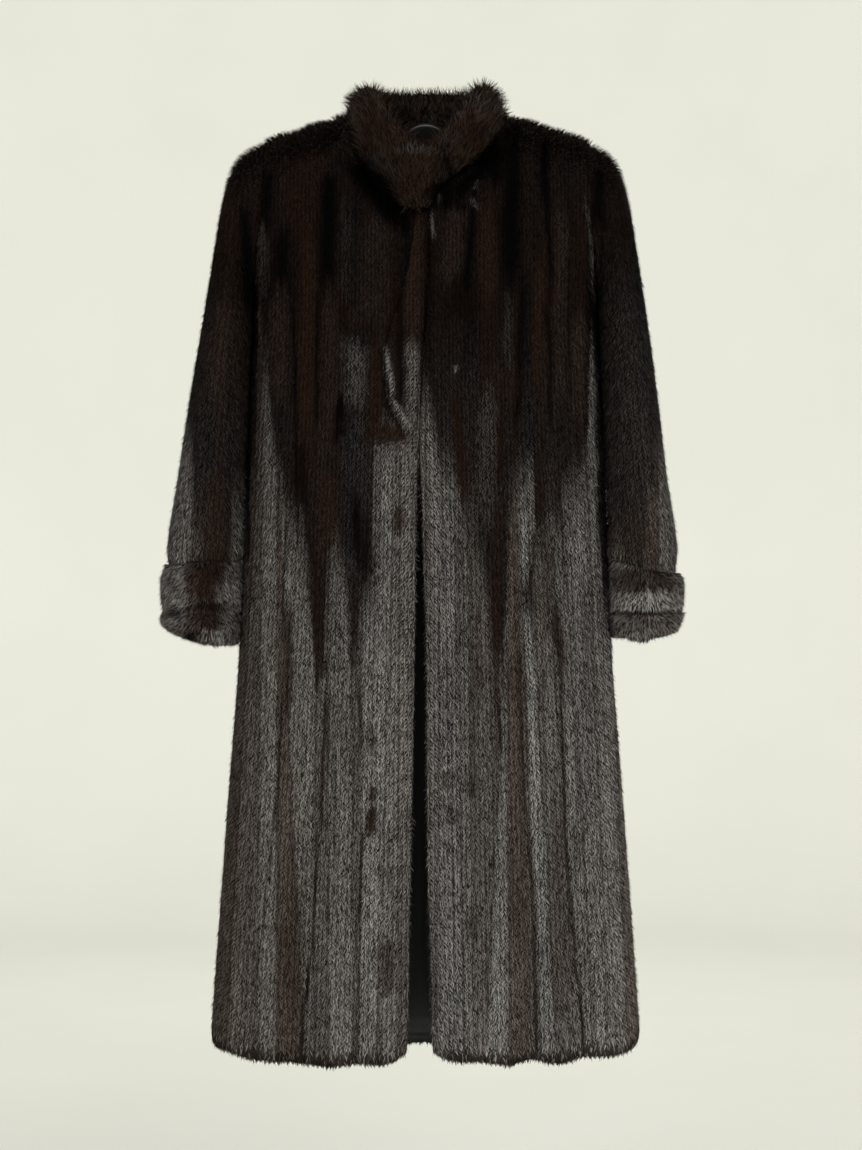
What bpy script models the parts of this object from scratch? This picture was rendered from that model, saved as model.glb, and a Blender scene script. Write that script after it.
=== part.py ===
"""Full-length mink coat hung on a moulded hanger.

Metres, +Z up.  The origin is the inside top of the hanger's hook, +X is the wearer's left and
the coat's front looks along -Y.  Every piece of fur is a wall between an outer and an inner
skin, set out on a grid: columns run round the body or the sleeve, rows run down it.
The sizes below are in millimetres.
"""
import math
from collections import namedtuple

import bmesh
import bpy
from mathutils import Vector

MM = 0.001

# Driving dimensions
FUR_WALL = 8.0            # leather, wadding and fur together
SEAM_GAP = 0.3            # air between pieces that are sewn together
LAPEL_WALL = 6.5
LAPEL_EASE = 0.7          # air under the rolled edge
LINING_WALL = 1.5
LINING_EASE = 0.5
LINING_HALF_WIDTH = 0.3   # share of the half back that the open front shows
LINING_HEM = 0.006        # the lining ends above the hem, as a share of the back's length
NECK_POINT_X = 98.0
NECK_POINT_Z = -16.0
SHOULDER_TIP_X = 200.0
SHOULDER_TIP_Z = -43.0
ARMPIT_Z = -238.0
HEM_Z = -1186.0
HEM_CORNER = 20.0         # radius of the front corners at the hem
HEM_CORNER_SHARE = 0.1    # share of the front's length over which the corner lifts its rows
HEM_SIDE_RISE = 28.0      # the hem hangs this much higher at the side seams
SHOULDER_ROUND = 50.0     # depth in which the shoulders round over from front to back
YOKE_BLEND = 220.0        # length below the neck in which the panels settle to the body's rings
ARMHOLE_FRONT = 62.0
ARMHOLE_BACK = 58.0
BODY_SQUARENESS = 2.4     # superellipse exponent of the body's rings
WAIST_FLARE = 0.75        # folds stand this much closer together where they start
FOLD_TOP_Z = -640.0
RING_REACH = 40.0         # length over which the body's widths and depths are rounded off
EDGE_REACH = 25.0         # the same for the front edges
SHOULDER_LEAN = (0.23, 0.0, 0.97)   # direction out of the left shoulder's seam

# Grid sizes
FRONT_COLUMNS = 20
ARMHOLE_ROWS = 10
SKIRT_ROWS = 17
NECK_SHARE = 0.35         # the side neck point, as a share of the half panel's width

# Rings of the body: half width at the side seams, depth of front and back at the centre,
# and the front edges of the wearer's right and left fronts
Ring = namedtuple("Ring", "z half_width front back right_edge left_edge")
BODY_RINGS = [
    Ring(-1186, 270.0, 86.0, 85.0, -23.0, 9.5),
    Ring(-900, 249.0, 85.0, 83.0, -17.0, 2.5),
    Ring(-670, 231.0, 83.0, 79.0, -13.5, 1.0),
    Ring(-520, 226.0, 83.0, 76.0, -11.0, -3.0),
    Ring(-420, 221.5, 82.0, 74.0, -8.5, -7.5),
    Ring(-238, 213.0, 77.0, 68.0, 0.7, 1.3),
    Ring(-140, 205.0, 71.0, 62.0, 2.5, 3.1),
    Ring(-46, 200.0, 60.0, 54.0, 3.0, 3.6),
    Ring(-20, 200.0, 58.0, 52.0, 3.0, 3.6),
]

# Upper edge of each panel, from its middle to the side neck point
Edge = namedtuple("Edge", "share x y z")
RIGHT_FRONT_NECK = [
    Edge(0.00, -2.5, -66, -140),
    Edge(0.05, 14, -66, -142),
    Edge(0.10, 30, -65, -141),
    Edge(0.15, 47, -62, -129),
    Edge(0.20, 64, -55, -112),
    Edge(0.25, 78, -43, -92),
    Edge(0.30, 90, -25, -66),
    Edge(NECK_SHARE, NECK_POINT_X, 0, NECK_POINT_Z),
    Edge(1.00, SHOULDER_TIP_X, 0, SHOULDER_TIP_Z),
]
LEFT_FRONT_NECK = [
    Edge(0.00, 3.1, -62, -121),
    Edge(0.05, 16, -62, -117),
    Edge(0.10, 31, -61, -106),
    Edge(0.15, 47, -57, -94),
    Edge(0.20, 62, -50, -81),
    Edge(0.25, 76, -38, -67),
    Edge(0.30, 89, -20, -46),
    Edge(NECK_SHARE, NECK_POINT_X, 0, NECK_POINT_Z),
    Edge(1.00, SHOULDER_TIP_X, 0, SHOULDER_TIP_Z),
]
BACK_NECK = [
    Edge(0.00, 0, 57, -33),
    Edge(0.10, 32, 54, -32),
    Edge(0.20, 63, 41, -28),
    Edge(0.30, 89, 15, -21),
    Edge(NECK_SHARE, NECK_POINT_X, 0, NECK_POINT_Z),
    Edge(1.00, SHOULDER_TIP_X, 0, SHOULDER_TIP_Z),
]

# Hanging folds: place and half width of each trough at the hem, its depth, and where it starts
Fold = namedtuple("Fold", "x half_width depth top")
FRONT_FOLDS = [
    Fold(-216, 20, 9, -560),
    Fold(-155, 21, 14, -620),
    Fold(-86, 18, 6, -760),
    Fold(76, 18, 6, -700),
    Fold(131, 20, 12, -560),
    Fold(192, 20, 11, -600),
]
BACK_FOLDS = [
    Fold(-206, 22, 10, -540),
    Fold(-138, 23, 14, -480),
    Fold(-76, 20, 9, -640),
    Fold(-14, 20, 7, -700),
    Fold(54, 22, 13, -520),
    Fold(121, 20, 9, -660),
    Fold(186, 23, 13, -500),
]

# Sleeve sections: inner and outer point of each in the front view, half depth front to back,
# and how far the section's middle lies in front of the armhole's
Section = namedtuple("Section", "inner_x inner_z outer_x outer_z half_depth forward")
SLEEVE_SECTIONS = [
    Section(213.7, -240, 209, -48, 65, 0),
    Section(214.0, -242, 223, -59, 69, 0),
    Section(214.3, -244, 239, -77, 72, 0),
    Section(214.6, -247, 252, -110, 74, 1),
    Section(214.8, -252, 261, -170, 75, 2),
    Section(215.6, -270, 272, -240, 75, 3),
    Section(218.6, -335, 286, -325, 73, 5),
    Section(222.0, -410, 298, -405, 70, 7),
    Section(225.0, -475, 307, -472, 67, 9),
    Section(227.5, -530, 315, -530, 64, 11),
    Section(229.0, -562, 318.5, -562, 62, 12),
    Section(235.0, -571, 316.0, -571, 57, 12),
    Section(239.0, -582, 315.0, -582, 53, 12),
    Section(239.5, -618, 316.0, -618, 52, 13),
    Section(240.0, -646, 317.0, -646, 52, 13),
]
# How much further out each sleeve's outer line hangs at the cuff, wearer's right and left
SLEEVE_SPLAY = {-1: 2.5, 1: -5.5}
SPLAY_TOP_Z = -240.0
SPLAY_LENGTH = 250.0

# Cuff profile, walked round: height, and how far it stands out from the sleeve in the cuff
Profile = namedtuple("Profile", "z out")
CUFF_SLEEVE_Z = -604.0
CUFF_EASE = 1.5           # air between the cuff's own lining and the sleeve
CUFF_LINING = 0.8         # where the cuff's inner face stands in the profile
CUFF_FLATNESS = 0.55      # the roll stands out this much less on the side next to the body
CUFF_PROFILE = [
    Profile(-590, CUFF_LINING),
    Profile(-582, 3.0),
    Profile(-577, 6.5),
    Profile(-582, 9.5),
    Profile(-604, 11.0),
    Profile(-624, 10.0),
    Profile(-634, 7.0),
    Profile(-643, 10.0),
    Profile(-657, 11.0),
    Profile(-668, 7.5),
    Profile(-672, 1.0),
    Profile(-668, -6.0),
    Profile(-660, -8.0),
    Profile(-655, -4.0),
    Profile(-653, CUFF_LINING),
    Profile(-622, CUFF_LINING),
]
# Lift of each cuff on its outer side against its inner side, wearer's right and left
CUFF_TILT = {-1: 7.0, 1: -3.0}

# Collar sections from the wearer's right end, round the back, to the left end
Stand = namedtuple("Stand", "x y z top_x top_y top_z wall")
COLLAR_STANDS = [
    Stand(8, -84.5, -141, 8, -83, -80, 13),
    Stand(2, -84.5, -146, 2, -83, -72, 19),
    Stand(-16, -84.5, -147, -15, -79, -58, 20),
    Stand(-33, -80.0, -140, -27, -72, -44, 20),
    Stand(-49, -68.0, -127, -38, -63, -24, 20),
    Stand(-66, -56.0, -108, -49, -52, -4, 21),
    Stand(-80, -42.0, -86, -60, -38, 10, 22),
    Stand(-92, -23.0, -56, -70, -18, 16, 22),
    Stand(-98.5, 1.0, -12, -79, 2, 13, 20),
    Stand(-91, 18.0, -19, -78, 20, 16, 20),
    Stand(-78, 33.0, -24, -69, 38, 18, 20),
    Stand(-56, 47.0, -28, -50, 51, 20, 20),
    Stand(-30, 55.0, -31, -26, 59, 22, 20),
    Stand(0, 57.5, -32, 0, 62, 22, 20),
    Stand(30, 55.0, -31, 26, 59, 22, 20),
    Stand(56, 47.0, -28, 50, 51, 20, 20),
    Stand(78, 33.0, -24, 69, 38, 18, 20),
    Stand(91, 18.0, -19, 77, 20, 17, 20),
    Stand(98.5, 1.0, -12, 78, 2, 15, 20),
    Stand(91, -21.0, -37, 69, -18, 19, 22),
    Stand(79, -39.0, -61, 59, -38, 11, 22),
    Stand(64, -51.0, -78, 47, -50, -6, 21),
    Stand(48, -58.0, -92, 36, -57, -26, 20),
    Stand(31, -61.5, -105, 23, -60, -43, 20),
    Stand(14, -62.5, -116, 10, -61, -56, 19),
    Stand(-2, -62.5, -120, -3, -61, -64, 17),
    Stand(-10, -62.5, -116, -10, -61, -74, 12),
]
COLLAR_SIDES = 12
COLLAR_FOOT = 0.45        # thickness at the neck seam, as a share of the collar's own
COLLAR_SWELL = 0.65       # part of the height in which it swells from the seam to its full depth
COLLAR_FACE_ROUNDING = 0.55   # exponents below 1 square the section: across, then up
COLLAR_TOP_ROUNDING = 0.75

# Rolled front edge: its width at each height
Roll = namedtuple("Roll", "z width")
LAPEL_WIDTHS = [
    Roll(-143, 17),
    Roll(-149, 18),
    Roll(-157, 19),
    Roll(-168, 21),
    Roll(-182, 23),
    Roll(-200, 26),
    Roll(-230, 30),
    Roll(-262, 39),
    Roll(-292, 47),
    Roll(-322, 48),
    Roll(-350, 45),
    Roll(-374, 38),
    Roll(-392, 29),
    Roll(-404, 19),
    Roll(-411, 8),
]
LAPEL_COLUMNS = 4
LAPEL_EDGE = 1.5          # the roll stands back this far from the front edge
LAPEL_ROUNDING = 0.45     # share of the roll's thickness lost at its two edges
LAPEL_STEP = 0.02         # share of the panel's width used to find its slope

# Hanger sections: height of the top, half width front to back and height of the section
Arm = namedtuple("Arm", "x top half_width height")
HANGER_ARMS = [
    Arm(26, -41.5, 13, 26),
    Arm(40, -37.0, 11, 23),
    Arm(70, -32.5, 10, 21),
    Arm(100, -30.5, 10, 20),
    Arm(122, -31.2, 14, 20),
    Arm(150, -38.7, 14, 20),
    Arm(176, -46.2, 11, 19),
    Arm(188, -49.2, 8, 14),
    Arm(192, -53.0, 4, 7),
]
NECK_DOME_PLACES = (0.0, 8.0, 15.0, 20.5)
NECK_DOME_WIDTH = 40.0    # half width at which the dome would have thinned to nothing
NECK_DOME_RADIUS = 26.5
NECK_DOME_TOP = -23.8
NECK_DOME_HALF_DEPTH = 16.0
NECK_DOME_HEIGHT = 44.0
HANGER_SIDES = 16
HANGER_ROUNDNESS = 1.25   # above 1 the section rises to a soft ridge
HOOK_WIRE = 3.2
HOOK_INSIDE = 8.0
HOOK_STEM_DEPTH = 9.0
HOOK_HOLE_EASE = 0.3
HOOK_START = -70.0        # degrees round the ring, from the back upwards
HOOK_TURN = 240.0
HOOK_STEPS = 16


def between(rows, key, value, column):
    """Value of a column at a place between two rows of a table, on straight lines."""
    rows = sorted(rows, key=lambda row: getattr(row, key))
    if value <= getattr(rows[0], key):
        return getattr(rows[0], column)
    for low, high in zip(rows, rows[1:]):
        start = getattr(low, key)
        end = getattr(high, key)
        if value <= end:
            part = (value - start) / (end - start)
            return getattr(low, column) + part * (getattr(high, column) - getattr(low, column))
    return getattr(rows[-1], column)


def smooth_between(rows, key, value, column, reach):
    """The same, rounded off at the rows by averaging over a reach to either side."""
    steps = (-1.0, -0.5, 0.0, 0.5, 1.0)
    total = sum(between(rows, key, value + step * reach, column) for step in steps)
    return total / len(steps)


def ease(part):
    """Soft step from 0 to 1."""
    part = min(max(part, 0.0), 1.0)
    return part * part * (3.0 - 2.0 * part)


def armhole_angle(z):
    """Angle round the armhole, 0 at the shoulder and pi at the armpit."""
    middle = (SHOULDER_TIP_Z + ARMPIT_Z) / 2
    radius = (SHOULDER_TIP_Z - ARMPIT_Z) / 2
    return math.acos(min(max((z - middle) / radius, -1.0), 1.0))


def row_share(row):
    """Share of a panel's length at a row: even angles round the armhole, then even steps."""
    armhole_share = (SHOULDER_TIP_Z - ARMPIT_Z) / (SHOULDER_TIP_Z - HEM_Z - HEM_SIDE_RISE)
    if row <= ARMHOLE_ROWS:
        return armhole_share * (1.0 - math.cos(math.pi * row / ARMHOLE_ROWS)) / 2
    return armhole_share + (1.0 - armhole_share) * (row - ARMHOLE_ROWS) / SKIRT_ROWS


def fold_depth(folds, x, z):
    """How far the hanging folds pull the fur in at a place."""
    spread = 1.0 - (1.0 - WAIST_FLARE) * (z - HEM_Z) / (FOLD_TOP_Z - HEM_Z)
    depth = 0.0
    for fold in folds:
        fade = ease((fold.top - z) / (fold.top - HEM_Z))
        across = (x - fold.x * spread) / (fold.half_width * spread)
        depth += fold.depth * fade * math.exp(-across * across)
    return depth


def panel_point(side, face, share, row_part):
    """Point of the outer skin: side -1 or +1, face -1 front or +1 back, share 0 to 1 from the
    middle to the side seam, and part of the length from the upper edge down."""
    if face > 0:
        neck = BACK_NECK
        edge_column = None
        armhole_depth = ARMHOLE_BACK
        folds = BACK_FOLDS
    else:
        neck = RIGHT_FRONT_NECK if side < 0 else LEFT_FRONT_NECK
        edge_column = "right_edge" if side < 0 else "left_edge"
        armhole_depth = ARMHOLE_FRONT
        folds = FRONT_FOLDS
    top = [between(neck, "share", share, column) for column in ("x", "y", "z")]
    hem = HEM_Z + HEM_SIDE_RISE * share ** 4
    z = top[2] + (hem - top[2]) * row_part
    edge = 0.0
    if edge_column:
        edge = side * smooth_between(BODY_RINGS, "z", z, edge_column, EDGE_REACH)
        corner = max(HEM_CORNER - share * SHOULDER_TIP_X, 0.0)
        rise = HEM_CORNER - math.sqrt(HEM_CORNER ** 2 - corner ** 2)
        z += rise * ease((row_part - 1.0 + HEM_CORNER_SHARE) / HEM_CORNER_SHARE)
    half_width = smooth_between(BODY_RINGS, "z", z, "half_width", RING_REACH)
    depth = smooth_between(BODY_RINGS, "z", z, "back" if face > 0 else "front", RING_REACH)
    across = math.sin(share * math.pi / 2) ** (2 / BODY_SQUARENESS)
    bulge = max(math.cos(share * math.pi / 2), 0.0) ** (2 / BODY_SQUARENESS)
    x = edge + (half_width - edge) * across
    x = top[0] + (x - top[0]) * ease((top[2] - z) / YOKE_BLEND)
    y = armhole_depth * math.sin(armhole_angle(z)) * (1.0 - bulge) + depth * bulge
    rounding = min(max((top[2] - z) / SHOULDER_ROUND, 0.0), 1.0)
    arch = math.sqrt(1.0 - (1.0 - rounding) ** 2) ** (1.0 - share ** 4)
    y = abs(top[1]) + (y - abs(top[1])) * arch
    point = Vector((side * x, face * y, z))
    inward = Vector((-side * across ** 3, -face * bulge, 0.0))
    if inward.length > 0:
        point += inward.normalized() * fold_depth(folds, point.x, z)
    return point


def panel_skin(side, face, shares, rows):
    """Outer and inner skins of a panel, as rows of columns."""
    outer = [[panel_point(side, face, share, part) for share in shares] for part in rows]
    return outer, offset_skin(outer, side, face, shares, rows, FUR_WALL)


def outward(outer, row, column, side, face, shares, rows):
    """Direction out of the panel at a grid point, shared by both panels at their seams."""
    share = shares[column]
    if share == 1.0 and rows[row] >= row_share(ARMHOLE_ROWS) - 1e-9:
        return Vector((side, 0.0, 0.0))
    if row == 0 and share >= NECK_SHARE and rows[0] == 0.0:
        lean = Vector(SHOULDER_LEAN).normalized()
        return Vector((side * lean.x, lean.y, lean.z))
    up = outer[max(row - 1, 0)][column]
    down = outer[min(row + 1, len(outer) - 1)][column]
    left = outer[row][max(column - 1, 0)]
    right = outer[row][min(column + 1, len(shares) - 1)]
    normal = (down - up).cross(right - left)
    if normal.dot(Vector((side * share, face * (1.2 - share), 0.0))) < 0:
        normal = -normal
    return normal.normalized()


def offset_skin(outer, side, face, shares, rows, distance):
    """A skin moved in by a distance along the panel's outward directions."""
    skin = []
    for row in range(len(outer)):
        line = []
        for column in range(len(shares)):
            normal = outward(outer, row, column, side, face, shares, rows)
            line.append(outer[row][column] - normal * distance)
        skin.append(line)
    return skin


def make_mesh(name, points, faces, material, collection):
    """Object from points in millimetres, with its faces turned outwards."""
    mesh = bpy.data.meshes.new(name)
    mesh.from_pydata([point * MM for point in points], [], faces)
    work = bmesh.new()
    work.from_mesh(mesh)
    bmesh.ops.recalc_face_normals(work, faces=work.faces)
    work.to_mesh(mesh)
    work.free()
    mesh.shade_smooth()
    mesh.set_sharp_from_angle(angle=math.radians(50))
    piece = bpy.data.objects.new(name, mesh)
    piece.data.materials.append(material)
    collection.objects.link(piece)
    return piece


def wall(name, outer, inner, material, collection, ring=False):
    """Closed wall between two skins; a ring joins its last column to its first."""
    rows = len(outer)
    columns = len(outer[0])
    points = [point for line in outer for point in line]
    points += [point for line in inner for point in line]
    half = rows * columns
    faces = []
    for row in range(rows - 1):
        for column in range(columns if ring else columns - 1):
            here = row * columns + column
            side = row * columns + (column + 1) % columns
            faces.append((here, side, side + columns, here + columns))
            faces.append((half + here, half + here + columns, half + side + columns, half + side))
    for column in range(columns if ring else columns - 1):
        for row in (0, rows - 1):
            here = row * columns + column
            side = row * columns + (column + 1) % columns
            faces.append((here, side, half + side, half + here))
    if not ring:
        for row in range(rows - 1):
            for column in (0, columns - 1):
                here = row * columns + column
                faces.append((here, here + columns, half + here + columns, half + here))
    return make_mesh(name, points, faces, material, collection)


def loft(name, sections, material, collection, closed=False):
    """Closed body through like sections, capped at its ends or joined round to its start."""
    sides = len(sections[0])
    count = len(sections)
    points = [point for section in sections for point in section]
    faces = []
    for index in range(count if closed else count - 1):
        here = index * sides
        there = ((index + 1) % count) * sides
        for side in range(sides):
            after = (side + 1) % sides
            faces.append((here + side, here + after, there + after, there + side))
    if not closed:
        faces.append(tuple(range(sides)))
        faces.append(tuple(range((count - 1) * sides, count * sides)))
    return make_mesh(name, points, faces, material, collection)


def make_material(name, colour, roughness, metallic=0.0):
    """Principled material of one colour, given as linear red, green and blue."""
    material = bpy.data.materials.new(name)
    material.use_nodes = True
    shader = material.node_tree.nodes["Principled BSDF"]
    shader.inputs["Base Color"].default_value = (*colour, 1.0)
    shader.inputs["Roughness"].default_value = roughness
    shader.inputs["Metallic"].default_value = metallic
    return material


def all_rows():
    """Row places of a panel from its upper edge to the hem."""
    return [row_share(row) for row in range(ARMHOLE_ROWS + SKIRT_ROWS + 1)]


def make_fronts(material, collection):
    """Two fronts, each from its front edge to the side seam, moved off the back's seams."""
    shares = [column / FRONT_COLUMNS for column in range(FRONT_COLUMNS + 1)]
    apart = Vector((0.0, -SEAM_GAP / 2, 0.0))
    for name, side in (("front_right", -1), ("front_left", 1)):
        outer, inner = panel_skin(side, -1, shares, all_rows())
        outer = [[point + apart for point in line] for line in outer]
        inner = [[point + apart for point in line] for line in inner]
        wall(name, outer, inner, material, collection)


def back_skins(half_shares, rows):
    """Outer and inner skins across the whole back, right half and left half together."""
    apart = Vector((0.0, SEAM_GAP / 2, 0.0))
    skins = []
    for side in (-1, 1):
        for skin in panel_skin(side, 1, half_shares, rows):
            skins.append([[point + apart for point in line] for line in skin])
    right_outer, right_inner, left_outer, left_inner = skins
    outer = [right[::-1] + left[1:] for right, left in zip(right_outer, left_outer)]
    inner = [right[::-1] + left[1:] for right, left in zip(right_inner, left_inner)]
    return outer, inner


def make_back(material, collection):
    """The whole back in one panel."""
    shares = [column / FRONT_COLUMNS for column in range(FRONT_COLUMNS + 1)]
    outer, inner = back_skins(shares, all_rows())
    wall("back", outer, inner, material, collection)


def make_lining(material, collection):
    """Satin on the inside of the back, behind the open front."""
    columns = round(LINING_HALF_WIDTH * FRONT_COLUMNS)
    shares = [column / FRONT_COLUMNS for column in range(columns + 1)]
    rows = all_rows()[ARMHOLE_ROWS:]
    rows[-1] -= LINING_HEM
    outer, inner = back_skins(shares, rows)
    near = []
    far = []
    for outer_line, inner_line in zip(outer, inner):
        inward = [(b - a).normalized() for a, b in zip(outer_line, inner_line)]
        near.append([b + way * LINING_EASE for b, way in zip(inner_line, inward)])
        far.append([b + way * LINING_WALL for b, way in zip(near[-1], inward)])
    wall("back_lining", near, far, material, collection)


def make_lapel(material, collection):
    """Rolled edge lying on the wearer's right front, made from that panel's own points."""
    top_z = RIGHT_FRONT_NECK[0].z
    outer = []
    inner = []
    for roll in LAPEL_WIDTHS:
        part = (top_z - roll.z) / (top_z - HEM_Z)
        half_width = smooth_between(BODY_RINGS, "z", roll.z, "half_width", RING_REACH)
        outer_line = []
        inner_line = []
        for column in range(LAPEL_COLUMNS + 1):
            reach = LAPEL_EDGE + roll.width * column / LAPEL_COLUMNS
            share = 2 / math.pi * math.asin((reach / half_width) ** (BODY_SQUARENESS / 2))
            point = panel_point(-1, -1, share, part)
            point.z = roll.z
            beside = panel_point(-1, -1, share + LAPEL_STEP, part)
            across = (beside - point).normalized()
            normal = Vector((across.y, -across.x, 0.0)).normalized()
            if normal.y > 0:
                normal = -normal
            base = point + Vector((0.0, -SEAM_GAP / 2, 0.0)) + normal * LAPEL_EASE
            rounding = 1.0 - LAPEL_ROUNDING * abs(2 * column / LAPEL_COLUMNS - 1) ** 3
            inner_line.append(base)
            outer_line.append(base + normal * LAPEL_WALL * rounding)
        outer.append(outer_line)
        inner.append(inner_line)
    wall("lapel", outer, inner, material, collection)


def splayed(side, section):
    """A sleeve section with its outer line moved out as far as that sleeve hangs."""
    share = ease((SPLAY_TOP_Z - section.outer_z) / SPLAY_LENGTH)
    return section._replace(outer_x=section.outer_x + SLEEVE_SPLAY[side] * share)


def armhole_ring(side):
    """Points round the armhole on the body's outer skin, from the shoulder down the front."""
    ring = []
    for row in range(ARMHOLE_ROWS + 1):
        ring.append(panel_point(side, -1, 1.0, row_share(row)))
    for row in range(ARMHOLE_ROWS - 1, 0, -1):
        ring.append(panel_point(side, 1, 1.0, row_share(row)))
    return ring


def sleeve_section(side, section):
    """Oval of a sleeve, with the same count of points as the armhole."""
    inner = Vector((side * section.inner_x, -section.forward, section.inner_z))
    outer = Vector((side * section.outer_x, -section.forward, section.outer_z))
    middle = (inner + outer) / 2
    half = (outer - inner) / 2
    ring = []
    for index in range(2 * ARMHOLE_ROWS):
        angle = math.pi * index / ARMHOLE_ROWS
        depth = Vector((0.0, -section.half_depth * math.sin(angle), 0.0))
        ring.append(middle + half * math.cos(angle) + depth)
    return ring


def shrink_ring(ring, distance):
    """A ring moved in towards its middle by a distance, square to its own edge."""
    count = len(ring)
    middle = sum(ring, Vector()) / count
    normal = Vector()
    for index in range(count):
        normal += (ring[index] - middle).cross(ring[(index + 1) % count] - middle)
    normal.normalize()
    smaller = []
    for index in range(count):
        along = ring[(index + 1) % count] - ring[index - 1]
        inward = along.cross(normal).normalized()
        if inward.dot(middle - ring[index]) < 0:
            inward = -inward
        smaller.append(ring[index] + inward * distance)
    return smaller


def make_sleeves(material, collection):
    """Two hollow sleeves from the armholes to the turn-back cuffs."""
    for name, side in (("sleeve_right", -1), ("sleeve_left", 1)):
        apart = Vector((side * SEAM_GAP, 0.0, 0.0))
        rings = [[point + apart for point in armhole_ring(side)]]
        rings += [sleeve_section(side, splayed(side, section)) for section in SLEEVE_SECTIONS]
        smaller = [shrink_ring(ring, FUR_WALL) for ring in rings]
        wall(name, rings, smaller, material, collection, ring=True)


def make_cuffs(material, collection):
    """Two turned-back cuffs, each one rolled section carried round the sleeve's end."""
    inside = [row for row in SLEEVE_SECTIONS if row.inner_z < CUFF_SLEEVE_Z][0]
    for name, side in (("cuff_right", -1), ("cuff_left", 1)):
        section = splayed(side, inside)
        middle_x = side * (section.inner_x + section.outer_x) / 2
        half_width = (section.outer_x - section.inner_x) / 2 + CUFF_EASE
        half_depth = section.half_depth + CUFF_EASE
        rings = []
        for profile in CUFF_PROFILE:
            ring = []
            for index in range(2 * ARMHOLE_ROWS):
                angle = math.pi * index / ARMHOLE_ROWS
                outer_part = math.cos(angle)
                reach = profile.out
                if outer_part < 0 and reach > CUFF_LINING:
                    reach += (reach - CUFF_LINING) * CUFF_FLATNESS * outer_part
                x = middle_x + side * (half_width + reach) * outer_part
                y = -section.forward - (half_depth + profile.out) * math.sin(angle)
                tilt = CUFF_TILT[side] * outer_part / 2
                ring.append(Vector((x, y, profile.z + tilt)))
            rings.append(ring)
        loft(name, rings, material, collection, closed=True)


def make_collar(material, collection):
    """Stand collar: a thick slab with a rounded top, carried round the neck."""
    bases = [Vector((row.x, row.y, row.z)) for row in COLLAR_STANDS]
    tops = [Vector((row.top_x, row.top_y, row.top_z)) for row in COLLAR_STANDS]
    sections = []
    for index, row in enumerate(COLLAR_STANDS):
        after = min(index + 1, len(bases) - 1)
        before = max(index - 1, 0)
        along = (bases[after] + tops[after]) - (bases[before] + tops[before])
        up = tops[index] - bases[index]
        height = up.length
        up.normalize()
        out = along.cross(up).normalized()
        half = row.wall / 2
        section = []
        for side in range(COLLAR_SIDES):
            angle = 2 * math.pi * (side + 0.5) / COLLAR_SIDES
            across = math.cos(angle)
            rise = math.sin(angle)
            square_across = math.copysign(abs(across) ** COLLAR_FACE_ROUNDING, across)
            part = (1.0 + math.copysign(abs(rise) ** COLLAR_TOP_ROUNDING, rise)) / 2
            place = bases[index] + up * height * part
            swell = COLLAR_FOOT + (1.0 - COLLAR_FOOT) * ease(part / COLLAR_SWELL)
            section.append(place + out * half * swell * square_across)
        sections.append(section)
    loft("collar", sections, material, collection)


def hanger_section(x, top, half_width, height):
    """Rounded section of the hanger at a place along its arms."""
    section = []
    for side in range(HANGER_SIDES):
        angle = 2 * math.pi * side / HANGER_SIDES
        y = half_width * math.copysign(abs(math.cos(angle)) ** HANGER_ROUNDNESS, math.cos(angle))
        rise = math.copysign(abs(math.sin(angle)) ** HANGER_ROUNDNESS, math.sin(angle))
        z = top - height / 2 + height / 2 * rise
        section.append(Vector((x, y, z)))
    return section


def make_hanger(material, collection, cutters):
    """Two arms under the shoulders and a domed neck, bored for the hook's stem."""
    middle = NECK_DOME_TOP - NECK_DOME_RADIUS
    rows = []
    for x in NECK_DOME_PLACES:
        top = middle + math.sqrt(NECK_DOME_RADIUS ** 2 - x ** 2)
        share = math.sqrt(1.0 - (x / NECK_DOME_WIDTH) ** 2)
        rows.append(Arm(x, top, NECK_DOME_HALF_DEPTH * share, NECK_DOME_HEIGHT * share ** 3))
    rows += HANGER_ARMS
    places = [row._replace(x=-row.x) for row in reversed(rows[1:])] + rows
    sections = [hanger_section(*row) for row in places]
    hanger = loft("hanger", sections, material, collection)
    bore = HOOK_WIRE / 2 + HOOK_HOLE_EASE
    depth = HOOK_STEM_DEPTH + 4 * HOOK_HOLE_EASE
    bpy.ops.mesh.primitive_cylinder_add(vertices=16, radius=bore * MM, depth=2 * depth * MM,
                                        location=(0.0, 0.0, NECK_DOME_TOP * MM))
    cutter = bpy.context.object
    cutter.name = "hook_bore"
    cutter.hide_render = True
    cutter.display_type = "WIRE"
    for home in cutter.users_collection:
        home.objects.unlink(cutter)
    cutters.objects.link(cutter)
    cut = hanger.modifiers.new("hook bore", "BOOLEAN")
    cut.operation = "DIFFERENCE"
    cut.object = cutter


def make_hook(material, collection):
    """Wire hook: a stem in the hanger's neck and two thirds of a ring, open to the front."""
    radius = HOOK_INSIDE + HOOK_WIRE / 2
    points = [Vector((0.0, 0.0, NECK_DOME_TOP - HOOK_STEM_DEPTH))]
    points.append(Vector((0.0, 0.0, NECK_DOME_TOP + 1.0)))
    for step in range(HOOK_STEPS + 1):
        angle = math.radians(HOOK_START + HOOK_TURN * step / HOOK_STEPS)
        y = radius * math.cos(angle)
        z = radius * math.sin(angle) - HOOK_INSIDE
        points.append(Vector((0.0, y, z)))
    curve = bpy.data.curves.new("hook", "CURVE")
    curve.dimensions = "3D"
    curve.bevel_depth = HOOK_WIRE / 2 * MM
    curve.bevel_resolution = 2
    curve.use_fill_caps = True
    spline = curve.splines.new("POLY")
    spline.points.add(len(points) - 1)
    for place, point in zip(spline.points, points):
        place.co = (*(point * MM), 1.0)
    curve.materials.append(material)
    collection.objects.link(bpy.data.objects.new("hook", curve))


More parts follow.
